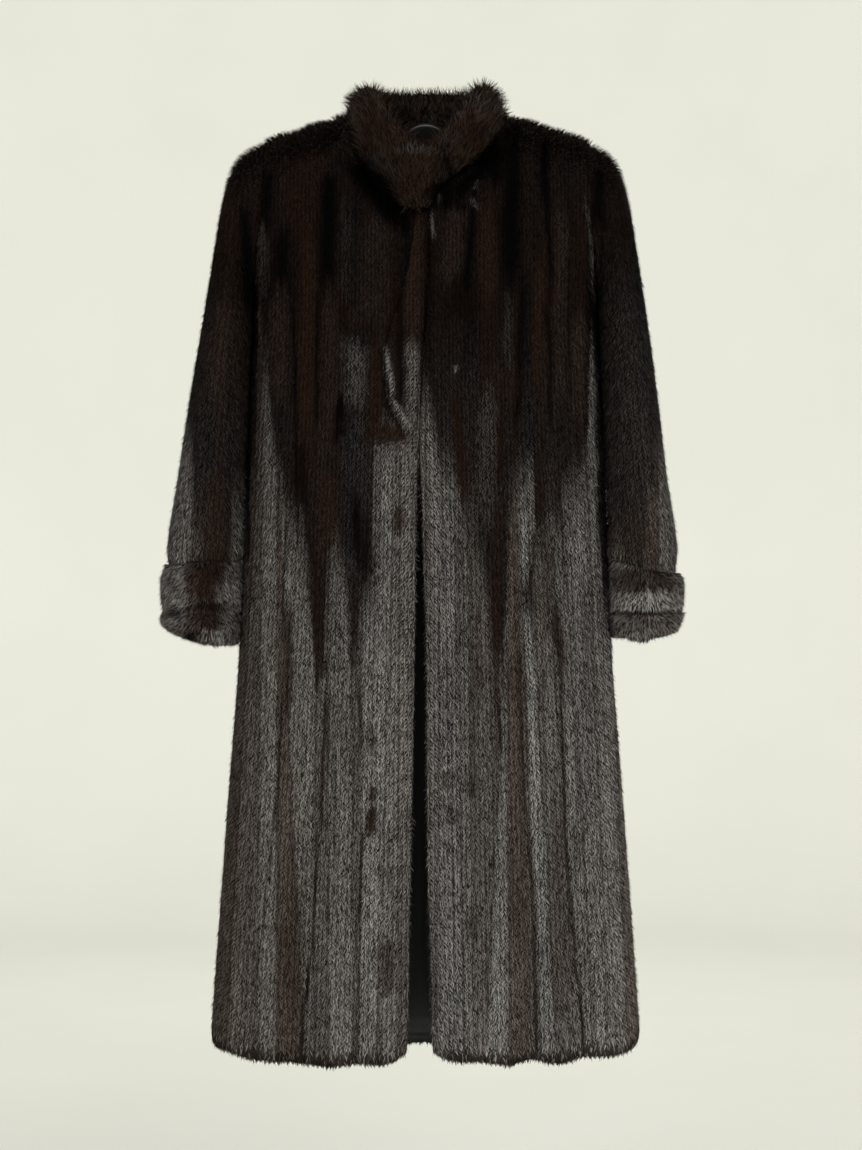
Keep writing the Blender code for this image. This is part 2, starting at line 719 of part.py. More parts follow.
def build():
    """Clear the scene and make every piece."""
    for item in list(bpy.data.objects):
        bpy.data.objects.remove(item, do_unlink=True)
    coat = bpy.data.collections.new("fur_coat")
    cutters = bpy.data.collections.new("cutters")
    bpy.context.scene.collection.children.link(coat)
    bpy.context.scene.collection.children.link(cutters)
    mink = make_material("mink fur", (0.022, 0.015, 0.012), 0.55)
    collar_mink = make_material("collar mink", (0.027, 0.017, 0.012), 0.6)
    satin = make_material("satin lining", (0.009, 0.013, 0.012), 0.35)
    plastic = make_material("moulded plastic", (0.008, 0.008, 0.009), 0.25)
    steel = make_material("blackened steel", (0.03, 0.03, 0.032), 0.35, 1.0)
    make_fronts(mink, coat)
    make_back(mink, coat)
    make_lapel(mink, coat)
    make_sleeves(mink, coat)
    make_cuffs(collar_mink, coat)
    make_collar(collar_mink, coat)
    make_lining(satin, coat)
    make_hanger(plastic, coat, cutters)
    make_hook(steel, coat)


build()
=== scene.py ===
"""Looks of a full-length dark mink coat, hung open on a moulded hanger.

Metres, +Z up.  The origin is the inside top of the hanger's hook, +X is the wearer's left and
the coat's front looks along -Y.
"""
import math
from collections import namedtuple

import bmesh
import bpy
import numpy as np
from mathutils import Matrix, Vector


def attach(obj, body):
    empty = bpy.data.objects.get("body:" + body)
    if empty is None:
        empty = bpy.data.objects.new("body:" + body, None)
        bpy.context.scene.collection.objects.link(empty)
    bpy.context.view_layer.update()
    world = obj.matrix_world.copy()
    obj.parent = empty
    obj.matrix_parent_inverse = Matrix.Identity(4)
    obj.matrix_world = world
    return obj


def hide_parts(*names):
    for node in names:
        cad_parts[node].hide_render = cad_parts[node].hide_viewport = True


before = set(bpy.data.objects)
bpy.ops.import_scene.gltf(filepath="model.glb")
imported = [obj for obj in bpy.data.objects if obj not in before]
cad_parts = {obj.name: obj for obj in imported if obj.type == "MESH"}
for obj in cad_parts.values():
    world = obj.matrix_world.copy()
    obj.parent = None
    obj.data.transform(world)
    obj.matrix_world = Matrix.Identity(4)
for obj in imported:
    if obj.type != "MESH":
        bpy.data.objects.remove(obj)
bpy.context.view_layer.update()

MM = 0.001

# ---------------------------------------------------------------------------------------------
# Camera.  It stands level with the coat's middle, straight in front of it, far enough away that
# the cuffs and the hem are seen almost square on.
# ---------------------------------------------------------------------------------------------
CAMERA_DISTANCE = 2.9
CAMERA_X = 0.0069
CAMERA_Z = -0.58875
HALF_VIEW_HEIGHT = 0.71875     # what shows above and below the middle, in the hook's plane


def add_object(name, data):
    """New object of a mesh, camera or light, put into the scene."""
    made = bpy.data.objects.new(name, data)
    bpy.context.scene.collection.objects.link(made)
    return made


camera_data = bpy.data.cameras.new("camera")
camera_data.lens = camera_data.sensor_width / 2 * CAMERA_DISTANCE / HALF_VIEW_HEIGHT
camera = add_object("camera", camera_data)
camera.location = (CAMERA_X, -CAMERA_DISTANCE, CAMERA_Z)
camera.rotation_euler = (math.radians(90), 0.0, 0.0)
bpy.context.scene.camera = camera

# ---------------------------------------------------------------------------------------------
# Hook and hanger.  The hanger is injection-moulded black polystyrene, glossy on its neck dome
# and with a raised rim line across it; the hook is blackened steel wire pressed into the neck.
# ---------------------------------------------------------------------------------------------
PLASTIC_BLACK = "#090a0a"
# grey of the painted highlight along the dome's rim line
PLASTIC_RIM_HIGHLIGHT = "#6c6c6c"
STEEL_BLACK = "#050505"
DOME_RADIUS = 26.5 * MM
DOME_TOP = -23.8 * MM
DOME_HALF_DEPTH = 16.0 * MM
DOME_WIDTH = 40.0 * MM
DOME_HEIGHT = 44.0 * MM
RIM_WIDTH = 0.8 * MM           # raised line along the dome's front and back edges
RIM_RISE = 1.1 * MM
RIM_PLACE = 0.5                # part of the half depth at which it runs
DOME_REACH = 20.5 * MM         # the sections lie close together out to here
DOME_SECTIONS = 12
HANGER_SIDES = 120
HANGER_ROUNDNESS = 1.25

# Sections of one arm in millimetres: how far out, height of the top, half width from front to
# back, and height of the section
Arm = namedtuple("Arm", "x top half_width height")
HANGER_ARMS = [
    Arm(26, -41.5, 13, 26),
    Arm(40, -37.0, 11, 23),
    Arm(70, -32.5, 10, 21),
    Arm(100, -30.5, 10, 20),
    Arm(122, -31.2, 14, 20),
    Arm(150, -38.7, 14, 20),
    Arm(176, -46.2, 11, 19),
    Arm(188, -49.2, 8, 14),
    Arm(192, -53.0, 4, 7),
]


def linear(hex_colour):
    """Linear red, green, blue and alpha of an sRGB hex colour."""
    channels = [int(hex_colour[i:i + 2], 16) / 255 for i in (1, 3, 5)]
    return [c / 12.92 if c <= 0.04045 else ((c + 0.055) / 1.055) ** 2.4 for c in channels] + [1.0]


def add_node(tree, kind, sockets=None, **settings):
    """Adds a node with its settings; a socket's value is a constant, or the output linked to it."""
    made = tree.nodes.new(kind)
    for name, value in settings.items():
        setattr(made, name, value)
    for key, value in (sockets or {}).items():
        if isinstance(value, bpy.types.NodeSocket):
            tree.links.new(value, made.inputs[key])
        else:
            made.inputs[key].default_value = value
    return made


def new_material(name, colour, **constants):
    """Principled material with plain values; returns it with its node tree and its shader."""
    material = bpy.data.materials.new(name)
    material.use_nodes = True
    tree = material.node_tree
    shader = tree.nodes["Principled BSDF"]
    shader.inputs["Base Color"].default_value = linear(colour)
    material.diffuse_color = linear(colour)
    for key, value in constants.items():
        shader.inputs[key.replace("_", " ")].default_value = value
    return material, tree, shader


def new_piece(name, points, faces, material):
    """Smooth mesh object from points in metres, its faces turned outwards."""
    mesh = bpy.data.meshes.new(name)
    mesh.from_pydata([tuple(point) for point in points], [], faces)
    work = bmesh.new()
    work.from_mesh(mesh)
    bmesh.ops.recalc_face_normals(work, faces=work.faces)
    work.to_mesh(mesh)
    work.free()
    mesh.shade_smooth()
    mesh.materials.append(material)
    return add_object(name, mesh)


# Moulded polystyrene: satin from the mould with a faint ripple, and polished along the rim line, where a
# painted highlight in lighter grey stands for the light it catches
moulded, tree, shader = new_material("moulded black polystyrene", PLASTIC_BLACK, IOR=1.59)
shader.inputs["Specular IOR Level"].default_value = 0.02
rim = add_node(tree, "ShaderNodeAttribute", attribute_name="rim").outputs["Fac"]
polish = add_node(tree, "ShaderNodeMapRange", {"Value": rim, "To Min": 0.42, "To Max": 0.14})
tree.links.new(polish.outputs["Result"], shader.inputs["Roughness"])
rim_highlight = add_node(tree, "ShaderNodeMix",
                {"Factor": rim, "A": linear(PLASTIC_BLACK), "B": linear(PLASTIC_RIM_HIGHLIGHT)},
                data_type="RGBA")
tree.links.new(rim_highlight.outputs["Result"], shader.inputs["Base Color"])
place = add_node(tree, "ShaderNodeTexCoord").outputs["Object"]
ripple = add_node(tree, "ShaderNodeTexNoise", {"Vector": place, "Scale": 90.0, "Detail": 2.0})
bump = add_node(tree, "ShaderNodeBump",
                {"Height": ripple.outputs["Fac"], "Strength": 0.15, "Distance": 0.2 * MM})
tree.links.new(bump.outputs["Normal"], shader.inputs["Normal"])

# Blackened wire: a dull coat of oxide that hides the metal, with smoother drawn streaks
wire, tree, shader = new_material("blackened steel wire", STEEL_BLACK, Roughness=0.5)
shader.inputs["Specular IOR Level"].default_value = 0.06
place = add_node(tree, "ShaderNodeTexCoord").outputs["Object"]
streak = add_node(tree, "ShaderNodeTexNoise", {"Vector": place, "Scale": 700.0, "Detail": 3.0})
rough = add_node(tree, "ShaderNodeMapRange",
                 {"Value": streak.outputs["Fac"], "To Min": 0.4, "To Max": 0.65})
tree.links.new(rough.outputs["Result"], shader.inputs["Roughness"])


def hanger_rows():
    """Sections of the right half of the hanger, closely spaced over the dome."""
    rows = []
    for step in range(DOME_SECTIONS):
        x = DOME_REACH * step / (DOME_SECTIONS - 1)
        top = DOME_TOP - DOME_RADIUS + math.sqrt(DOME_RADIUS ** 2 - x ** 2)
        share = math.sqrt(1.0 - (x / DOME_WIDTH) ** 2)
        rows.append(Arm(x, top, DOME_HALF_DEPTH * share, DOME_HEIGHT * share ** 3))
    rows += [Arm(*(value * MM for value in row)) for row in HANGER_ARMS]
    return rows


def make_hanger():
    """Both arms and the dome in one loft, with the raised rim line along the dome."""
    rows = hanger_rows()
    places = [row._replace(x=-row.x) for row in reversed(rows[1:])] + rows
    points = []
    rims = []
    for row in places:
        for side in range(HANGER_SIDES):
            angle = 2 * math.pi * side / HANGER_SIDES
            cosine = math.cos(angle)
            sine = math.sin(angle)
            y = row.half_width * math.copysign(abs(cosine) ** HANGER_ROUNDNESS, cosine)
            rise = math.copysign(abs(sine) ** HANGER_ROUNDNESS, sine)
            z = row.top - row.height / 2 + row.height / 2 * rise
            off = (abs(y) - row.half_width * RIM_PLACE) / RIM_WIDTH
            rim = math.exp(-off ** 2) if sine > 0 else 0.0
            rim *= max(0.0, 1.0 - abs(row.x) / DOME_WIDTH) ** 0.5
            points.append((row.x, y, z + RIM_RISE * rim))
            rims.append(rim)
    faces = []
    for row in range(len(places) - 1):
        for side in range(HANGER_SIDES):
            after = (side + 1) % HANGER_SIDES
            here = row * HANGER_SIDES
            there = here + HANGER_SIDES
            faces.append((here + side, here + after, there + after, there + side))
    faces.append(tuple(range(HANGER_SIDES)))
    faces.append(tuple(range((len(places) - 1) * HANGER_SIDES, len(places) * HANGER_SIDES)))
    piece = new_piece("hanger_body", points, faces, moulded)
    layer = piece.data.attributes.new("rim", "FLOAT", "POINT")
    layer.data.foreach_set("value", rims)
    return piece


hanger_body = make_hanger()
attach(hanger_body, "root")
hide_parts("hanger")
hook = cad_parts["hook"]
hook.data.materials.clear()
hook.data.materials.append(wire)

# ---------------------------------------------------------------------------------------------
# Back.  One panel of let-out mink: narrow strips of pelt sewn into long vertical bands on a
# leather of about a millimetre, lined with satin.  The wool lies close to the leather, and the
# guard hair over it runs down the coat, dark at its root and silver at its tip.
# ---------------------------------------------------------------------------------------------
HAIR_LOFT = 1.4 * MM           # the wool lies this far under the hair's tips
HAIR_LENGTH = 5.8 * MM
HAIR_WIDTH = 1.05 * MM         # locks of guard hair, drawn as coarse as they need to show
HAIR_LIFT = 14.0               # degrees from the skin
STRAY_LIFT = 1.4               # how much steeper a stray stands
STANDING_LIFT = 1.9            # and how much steeper still where the skin faces up
STANDING_SHARE = 0.3           # and how many more of them there are
STANDING_LENGTH = 0.4          # and how much longer
STRAY_LENGTH = 0.35            # how much longer a stray is than other locks
STRAY_WIDTH = 0.55             # and how much broader
HAIR_SPREAD = 5.0              # degrees to either side of the nap
NAP_WANDER = 0.16              # radians by which the nap itself turns from place to place
HAIR_LEAN = 16.0               # degrees that narrow columns lean to either side in turn
COLUMN_PAIR = 5.3              # millimetres across two such columns
COLUMN_SPREAD = 0.09           # how much wider they are at the hem
DASH_LENGTH = 4.8              # from one silver dash to the next along a column
DASH_DEPTH = 0.42              # how much the dashes, and how much chance, sets a lock's light
LOCK_CHANCE = 0.22
HAIR_SPACING = 1.18 * MM       # from root to root at the least
HALVES_MEET = 20 * MM          # two halves of a panel's hair thin out into each other over this
HAIR_TRIES = 2000000.0         # roots tried in a square metre
BODY_HEM = -1186 * MM          # height of the even hem

WOOL_DARK = "#030302"
WOOL_BROWN = "#0d0906"
GUARD_DARK = "#050404"
GUARD_BROWN = "#2b1a10"
GUARD_SILVER = "#bebbb7"
GUARD_PEARL = "#94887f"
SATIN_BLACK = "#070a09"

# Strips of pelt, in millimetres: where each begins at the hem and at the waist, how silver it
# is there, and how brown it is all along
Strip = namedtuple("Strip", "hem_x waist_x hem_silver waist_silver brown")
STRIP_HEM_Z = -1105.0
STRIP_WAIST_Z = -735.0
STRIP_SPREADS = (-1.2, 1.25)   # they narrow and widen on as far as this above and below
STRIP_EDGE = 5.0               # one strip passes into the next over this width
SEAM_SHADE = 0.45              # how much darker the seams between strips are
SEAM_WIDTH = 1.9
BACK_STRIPS = [
    Strip(-300, -260, 0.60, 0.60, 0.7), Strip(-240, -216, 0.90, 0.85, 0.3),
    Strip(-208, -188, 0.65, 0.70, 0.5), Strip(-180, -162, 1.00, 0.95, 0.2),
    Strip(-150, -134, 0.70, 0.60, 0.8), Strip(-122, -110, 0.95, 0.90, 0.3),
    Strip(-98, -88, 0.75, 0.70, 0.5), Strip(-70, -64, 1.00, 1.00, 0.2),
    Strip(-42, -38, 0.70, 0.65, 0.7), Strip(-18, -16, 0.90, 0.95, 0.3),
    Strip(8, 8, 0.80, 0.75, 0.4), Strip(34, 31, 1.05, 0.95, 0.2),
    Strip(60, 54, 0.70, 0.70, 0.8), Strip(90, 80, 0.95, 0.90, 0.3),
    Strip(116, 104, 0.65, 0.75, 0.6), Strip(140, 126, 0.95, 1.00, 0.2),
    Strip(170, 153, 0.75, 0.70, 0.5), Strip(198, 178, 1.00, 0.90, 0.2),
    Strip(228, 205, 0.80, 0.80, 0.5), Strip(252, 227, 0.65, 0.65, 0.8),
]

# Where the silver tips begin, from side to side, in millimetres; the silver below them is partly the pelt's
# own grizzle and partly painted sheen of the lower coat
Start = namedtuple("Start", "x z")
BACK_SILVER_AND_SHEEN = [
    Start(-260, -330), Start(-230, -400), Start(-205, -340), Start(-190, -450), Start(-165, -530),
    Start(-145, -600), Start(-128, -520), Start(-105, -480), Start(-85, -610), Start(-64, -540),
    Start(-45, -430), Start(-22, -480), Start(-2, -580), Start(16, -500), Start(36, -450),
    Start(58, -560), Start(80, -640), Start(98, -520), Start(120, -470), Start(142, -590),
    Start(160, -540), Start(184, -460), Start(204, -350), Start(230, -410), Start(260, -330),
]
START_EDGE = 7.0               # one start passes into the next over this width
START_WANDER = 40.0            # how far a start wanders up and down
SILVER_FADE = 105.0            # over what length the tips, and the painted sheen with them, grow to their full strength
DUST_AND_SHEEN_TOP = -230.0              # a faint dusting of silver, partly painted sheen, grows below here
DUST_AND_SHEEN_FADE = 200.0
DUST_AND_SHEEN_ABOVE = 0.02
DUST_AND_SHEEN = 0.055
BROWN_ABOVE = 0.54             # how brown the dark fur above the silver is at most
RIDGE_LIGHT_BROWN = 0.8              # painted top light along the top of the shoulders: browner fur with pale tips
RIDGE_LIGHT_SILVER = 0.28
RIDGE_DEPTH = 34.0             # to the front and to the back of the shoulder line
RIDGE_LOW = -175.0
RIDGE_FADE = 60.0
HEM_LIGHT = 0.1                # silver grows by this part towards the hem

# Patches in which the fur is uneven, in millimetres, and how the silver varies from lock to lock
# and from pelt to pelt: its least part, and what a patch adds at most
Patch = namedtuple("Patch", "across down")
Uneven = namedtuple("Uneven", "least reach across down")
START_PATCH = Patch(9.0, 80.0)
BROWN_PATCH = Patch(12.0, 260.0)
SWAY_PATCH = Patch(30.0, 26.0)
RAGGED_PATCH = Patch(3.4, 60.0)
NAP_PATCH = Patch(26.0, 120.0)
SILVER_UNEVEN = [Uneven(0.78, 0.44, 5.0, 55.0), Uneven(0.85, 0.3, 14.0, 150.0)]
MOTTLE_GRID = 64               # the pattern repeats after so many patches

# How unevenly the silver dashes are set, in parts of a column and of a dash, and the patches in
# which that changes, in pairs of columns and millimetres
DASH_SHIFT = Patch(0.2, 0.5)
COLUMN_PATCH = Patch(2.0, 40.0)
DASH_PATCH = Patch(1.2, 22.0)

STREAK_SWAY = 3.0              # millimetres that a streak's sides sway
STREAK_RAGGED = 26.0           # and that its ends run out unevenly
STREAK_EDGE = 2.6              # how firm its sides are: 2 is soft, 4 is firm
STREAK_SHORT = 70.0            # the ends of shorter ones run out less
STREAK_END = 0.15              # part of its length over which it fades in and out at an end
SILVER_MOST = 1.3

# Streaks along the fur: where each begins and ends and its half width in millimetres, how strong it is, and
# how silver and how brown it is.  Some rows in the tables below paint shadows and highlights; comments
# above those tables say which
Streak = namedtuple("Streak", "top_x top_z bottom_x bottom_z half_width strength silver brown")
BACK_STREAKS = [
    Streak(-150, -70, -156, -300, 9, 0.9, 0.0, 0.0),
    Streak(-84, -60, -88, -330, 10, 0.9, 0.0, 0.0),
    Streak(4, -60, 2, -420, 7, 0.9, 0.0, 0.0),
    Streak(92, -60, 96, -350, 10, 0.9, 0.0, 0.0),
    Streak(158, -70, 164, -310, 9, 0.9, 0.0, 0.0),
    Streak(-74, -620, -76, -760, 8, 0.5, 0.3, 0.8),
    Streak(46, -640, 48, -800, 9, 0.5, 0.3, 0.8),
    Streak(-130, -760, -136, -860, 8, 0.45, 0.4, 0.8),
    Streak(108, -900, 112, -990, 9, 0.4, 0.4, 0.8),
    Streak(-20, -930, -21, -1010, 8, 0.4, 0.4, 0.8),
]


def ease(part):
    """Soft step from 0 to 1, for one value or an array."""
    part = np.clip(part, 0.0, 1.0)
    return part * part * (3.0 - 2.0 * part)


def in_mm(points):
    """X, Y and Z of points in metres, each as an array in millimetres."""
    return [points[:, axis] / MM for axis in range(3)]


def look_up(table, key, column, places):
    """A column of a table at some places along its key column."""
    return np.interp(places, [getattr(row, key) for row in table],
                     [getattr(row, column) for row in table])


def mottle(x, z, patch, seed):
    """Smooth uneven pattern from 0 to 1 in patches of a given size."""
    grid = np.random.default_rng(seed).random((MOTTLE_GRID, MOTTLE_GRID))
    across = x / patch.across
    down = z / patch.down
    left = np.floor(across).astype(int)
    top = np.floor(down).astype(int)
    right_share = ease(across - left)
    low_share = ease(down - top)
    columns = (left % MOTTLE_GRID, (left + 1) % MOTTLE_GRID)
    rows = (top % MOTTLE_GRID, (top + 1) % MOTTLE_GRID)
    upper, lower = [grid[columns[0], row] * (1 - right_share) + grid[columns[1], row] * right_share
                    for row in rows]
    return upper * (1 - low_share) + lower * low_share


def strips_down(z):
    """How far down heights lie along the strips: 0 at the waist's places, 1 at the hem's."""
    return (STRIP_WAIST_Z - z) / (STRIP_WAIST_Z - STRIP_HEM_Z)


def pelt_tones(points, strips, starts, streaks, seed):
    """How silver and how brown the fur is at points in metres, from the piece's tables; besides the pelt's
    own tones these paint sheen, top light, shade and highlights.
    """
    x, y, z = in_mm(points)
    down = strips_down(z)
    spread = np.clip(down, *STRIP_SPREADS)
    low = np.clip(down, 0.0, 1.0)
    silver = np.zeros(len(x))
    brown = np.zeros(len(x))
    seam = np.zeros(len(x))
    for row in strips:
        edge = row.waist_x + (row.hem_x - row.waist_x) * spread
        share = ease((x - edge) / STRIP_EDGE + 0.5)
        silver += (row.waist_silver + (row.hem_silver - row.waist_silver) * low - silver) * share
        brown += (row.brown - brown) * share
        seam = np.maximum(seam, np.exp(-((x - edge) / SEAM_WIDTH) ** 2))
    silver = silver * (1.0 - SEAM_SHADE * seam)
    start = np.full(len(x), float(starts[0].z))
    for before, after in zip(starts, starts[1:]):
        start += (after.z - before.z) * ease((x - (before.x + after.x) / 2) / START_EDGE + 0.5)
    start = start + START_WANDER * (mottle(x, z, START_PATCH, seed) - 0.5)
    # below its start the fur turns silver, partly with the pelt's grizzle and partly with painted sheen
    full = ease((start - z) / SILVER_FADE + 0.5)
    dust_and_sheen = DUST_AND_SHEEN_ABOVE + DUST_AND_SHEEN * ease((DUST_AND_SHEEN_TOP - z) / DUST_AND_SHEEN_FADE)
    silver = silver * full + dust_and_sheen * (1.0 - full)
    for index, row in enumerate(SILVER_UNEVEN):
        silver = silver * (row.least + row.reach * mottle(x, z, row, seed + 1 + index))
    silver = silver * (1.0 + HEM_LIGHT * low)
    above = BROWN_ABOVE * mottle(x, z, BROWN_PATCH, seed + 3)
    brown = brown * full + above * (1.0 - full)
    # painted top light along the shoulder line
    ridge_light = np.exp(-(y / RIDGE_DEPTH) ** 2) * ease((z - RIDGE_LOW) / RIDGE_FADE)
    silver += RIDGE_LIGHT_SILVER * ridge_light
    brown += (1.0 - brown) * RIDGE_LIGHT_BROWN * ridge_light
    sway = STREAK_SWAY * (mottle(x, z, SWAY_PATCH, seed + 4) - 0.5)
    ragged = STREAK_RAGGED * (mottle(x, z, RAGGED_PATCH, seed + 5) - 0.5)
    for row in streaks:
        part = (row.top_z - z) / (row.top_z - row.bottom_z)
        middle = row.top_x + (row.bottom_x - row.top_x) * part + sway
        torn = ragged / max(row.top_z - row.bottom_z, STREAK_SHORT)
        begun = ease((part + torn + STREAK_END) / (2 * STREAK_END))
        ends = begun * ease((1.0 + STREAK_END - part - torn) / (2 * STREAK_END))
        wide = row.half_width * (0.5 + 0.5 * ends)
        near = row.strength * np.exp(-np.abs((x - middle) / wide) ** STREAK_EDGE) * ends
        silver += (row.silver - silver) * near
        brown += (row.brown - brown) * near
    return np.clip(silver, 0.0, SILVER_MOST), np.clip(brown, 0.0, 1.0)


def dashes(pairs, z, seed):
    """Silver tips set like bricks in the leaning columns: from -1 in the gaps to 1."""
    across = 2.0 * pairs + DASH_SHIFT.across * (mottle(pairs, z, COLUMN_PATCH, seed) - 0.5)
    along = z / DASH_LENGTH + DASH_SHIFT.down * (mottle(pairs, z, DASH_PATCH, seed + 1) - 0.5)
    return np.sin(math.pi * across) * np.cos(2 * math.pi * along)


def write_values(mesh, name, values):
    """Stores one number for each of a mesh's points."""
    layer = mesh.attributes.new(name, "FLOAT", "POINT")
    layer.data.foreach_set("value", np.ascontiguousarray(values, dtype=np.float32))


def read_array(elements, field, width=3):
    """One field of a mesh's elements as an array, with a row for each."""
    values = np.zeros(len(elements) * width, dtype=np.float32)
    elements.foreach_get(field, values)
    return values.reshape(-1, width)


def read_points(mesh):
    """A mesh's points and their normals as arrays."""
    places = read_array(mesh.vertices, "co")
    normals = read_array(mesh.vertices, "normal")
    return places.astype(float), normals.astype(float)


def unit(ways):
    """Directions brought to length 1."""
    return ways / np.maximum(np.linalg.norm(ways, axis=1), 1e-6)[:, None]


def plain_mesh(piece):
    """Turns what a piece's modifiers make into its own plain mesh, and returns it."""
    graph = bpy.context.evaluated_depsgraph_get()
    mesh = bpy.data.meshes.new_from_object(piece.evaluated_get(graph))
    piece.modifiers.clear()
    piece.data = mesh
    mesh.name = piece.name
    return mesh


# Guard hair: smooth keratin with a low gloss, dark at its root and silver at its tip where the
# pelt is grizzled; about half the locks stay dark, so the silver ones show as short dashes
guard_hair, tree, shader = new_material("mink guard hair", GUARD_DARK, Roughness=0.55)
shader.inputs["Specular IOR Level"].default_value = 0.012
silver = add_node(tree, "ShaderNodeAttribute", attribute_name="silver").outputs["Fac"]
brown = add_node(tree, "ShaderNodeAttribute", attribute_name="brown").outputs["Fac"]
lock = add_node(tree, "ShaderNodeAttribute", attribute_name="lock").outputs["Fac"]
tip = add_node(tree, "ShaderNodeAttribute", attribute_name="tip").outputs["Fac"]
own = add_node(tree, "ShaderNodeMapRange", {"Value": lock, "To Min": 0.35, "To Max": 1.35})
tint = add_node(tree, "ShaderNodeMath", {0: brown, 1: own.outputs["Result"]}, operation="MULTIPLY")
dark = add_node(tree, "ShaderNodeMix",
                {"Factor": tint.outputs[0], "A": linear(GUARD_DARK), "B": linear(GUARD_BROWN)},
                data_type="RGBA", clamp_factor=False)
pale = add_node(tree, "ShaderNodeMix",
                {"Factor": brown, "A": linear(GUARD_SILVER), "B": linear(GUARD_PEARL)},
                data_type="RGBA")
lights = add_node(tree, "ShaderNodeMapRange",
                  {"Value": lock, "From Min": 0.32, "From Max": 0.78, "To Min": 0.03, "To Max": 1.12},
                  interpolation_type="SMOOTHSTEP")
along = add_node(tree, "ShaderNodeMapRange", {"Value": tip, "To Min": 0.5, "To Max": 1.0})
share = add_node(tree, "ShaderNodeMath", {0: silver, 1: lights.outputs["Result"]}, operation="MULTIPLY")
share = add_node(tree, "ShaderNodeMath", {0: share.outputs[0], 1: along.outputs["Result"]},
                 operation="MULTIPLY", use_clamp=True)
mixed = add_node(tree, "ShaderNodeMix",
                 {"Factor": share.outputs[0], "A": dark.outputs["Result"], "B": pale.outputs["Result"]},
                 data_type="RGBA")
tree.links.new(mixed.outputs["Result"], shader.inputs["Base Color"])

# Wool under the guard hair: matt and almost black, clumped along the nap
wool, tree, shader = new_material("mink underwool", WOOL_DARK, Roughness=0.9)
shader.inputs["Specular IOR Level"].default_value = 0.01
silver = add_node(tree, "ShaderNodeAttribute", attribute_name="silver").outputs["Fac"]
brown = add_node(tree, "ShaderNodeAttribute", attribute_name="brown").outputs["Fac"]
place = add_node(tree, "ShaderNodeTexCoord").outputs["Object"]
stretched = add_node(tree, "ShaderNodeMapping", {"Vector": place, "Scale": (1.0, 1.0, 0.18)})
clumps = add_node(tree, "ShaderNodeTexNoise",
                  {"Vector": stretched.outputs["Vector"], "Scale": 600.0, "Detail": 3.0})
tone = add_node(tree, "ShaderNodeMix",
                {"Factor": brown, "A": linear(WOOL_DARK), "B": linear(WOOL_BROWN)},
                data_type="RGBA")
grey = add_node(tree, "ShaderNodeMath", {0: silver, 1: clumps.outputs["Fac"]}, operation="MULTIPLY")
grey = add_node(tree, "ShaderNodeMath", {0: grey.outputs[0], 1: 0.35}, operation="MULTIPLY")
mixed = add_node(tree, "ShaderNodeMix",
                 {"Factor": grey.outputs[0], "A": tone.outputs["Result"], "B": linear(GUARD_PEARL)},
                 data_type="RGBA")
bump = add_node(tree, "ShaderNodeBump",
                {"Height": clumps.outputs["Fac"], "Strength": 0.9, "Distance": 1.2 * MM})
tree.links.new(mixed.outputs["Result"], shader.inputs["Base Color"])
tree.links.new(bump.outputs["Normal"], shader.inputs["Normal"])

# Satin lining: silky warp-faced weave, near black with a green cast, glossy along the weft and
# softly creased down its length
satin, tree, shader = new_material("acetate satin", SATIN_BLACK, Roughness=0.34)
shader.inputs["Specular IOR Level"].default_value = 0.32
shader.inputs["Anisotropic"].default_value = 0.5
place = add_node(tree, "ShaderNodeTexCoord").outputs["Object"]
fine = add_node(tree, "ShaderNodeMapping", {"Vector": place, "Scale": (1.0, 1.0, 0.08)})
threads = add_node(tree, "ShaderNodeTexNoise",
                   {"Vector": fine.outputs["Vector"], "Scale": 900.0, "Detail": 2.0})
creases = add_node(tree, "ShaderNodeMapping", {"Vector": place, "Scale": (38.0, 38.0, 2.2)})
folds = add_node(tree, "ShaderNodeTexNoise",
                 {"Vector": creases.outputs["Vector"], "Scale": 1.0, "Detail": 2.0})
height = add_node(tree, "ShaderNodeMath", {0: threads.outputs["Fac"], 1: 0.02}, operation="MULTIPLY")
height = add_node(tree, "ShaderNodeMath", {0: folds.outputs["Fac"], 1: height.outputs[0]},
                  operation="ADD")
bump = add_node(tree, "ShaderNodeBump",
                {"Height": height.outputs[0], "Strength": 0.6, "Distance": 6.0 * MM})
tree.links.new(bump.outputs["Normal"], shader.inputs["Normal"])


def make_hair_pattern():
    """One lock of guard hair, 1 wide and 1 long, pointing along +Y."""
    mesh = bpy.data.meshes.new("hair_pattern")
    mesh.from_pydata([(-0.5, 0.0, 0.0), (0.5, 0.0, 0.0), (0.0, 1.0, 0.0)], [], [(0, 1, 2)])
    return add_object("hair_pattern", mesh)


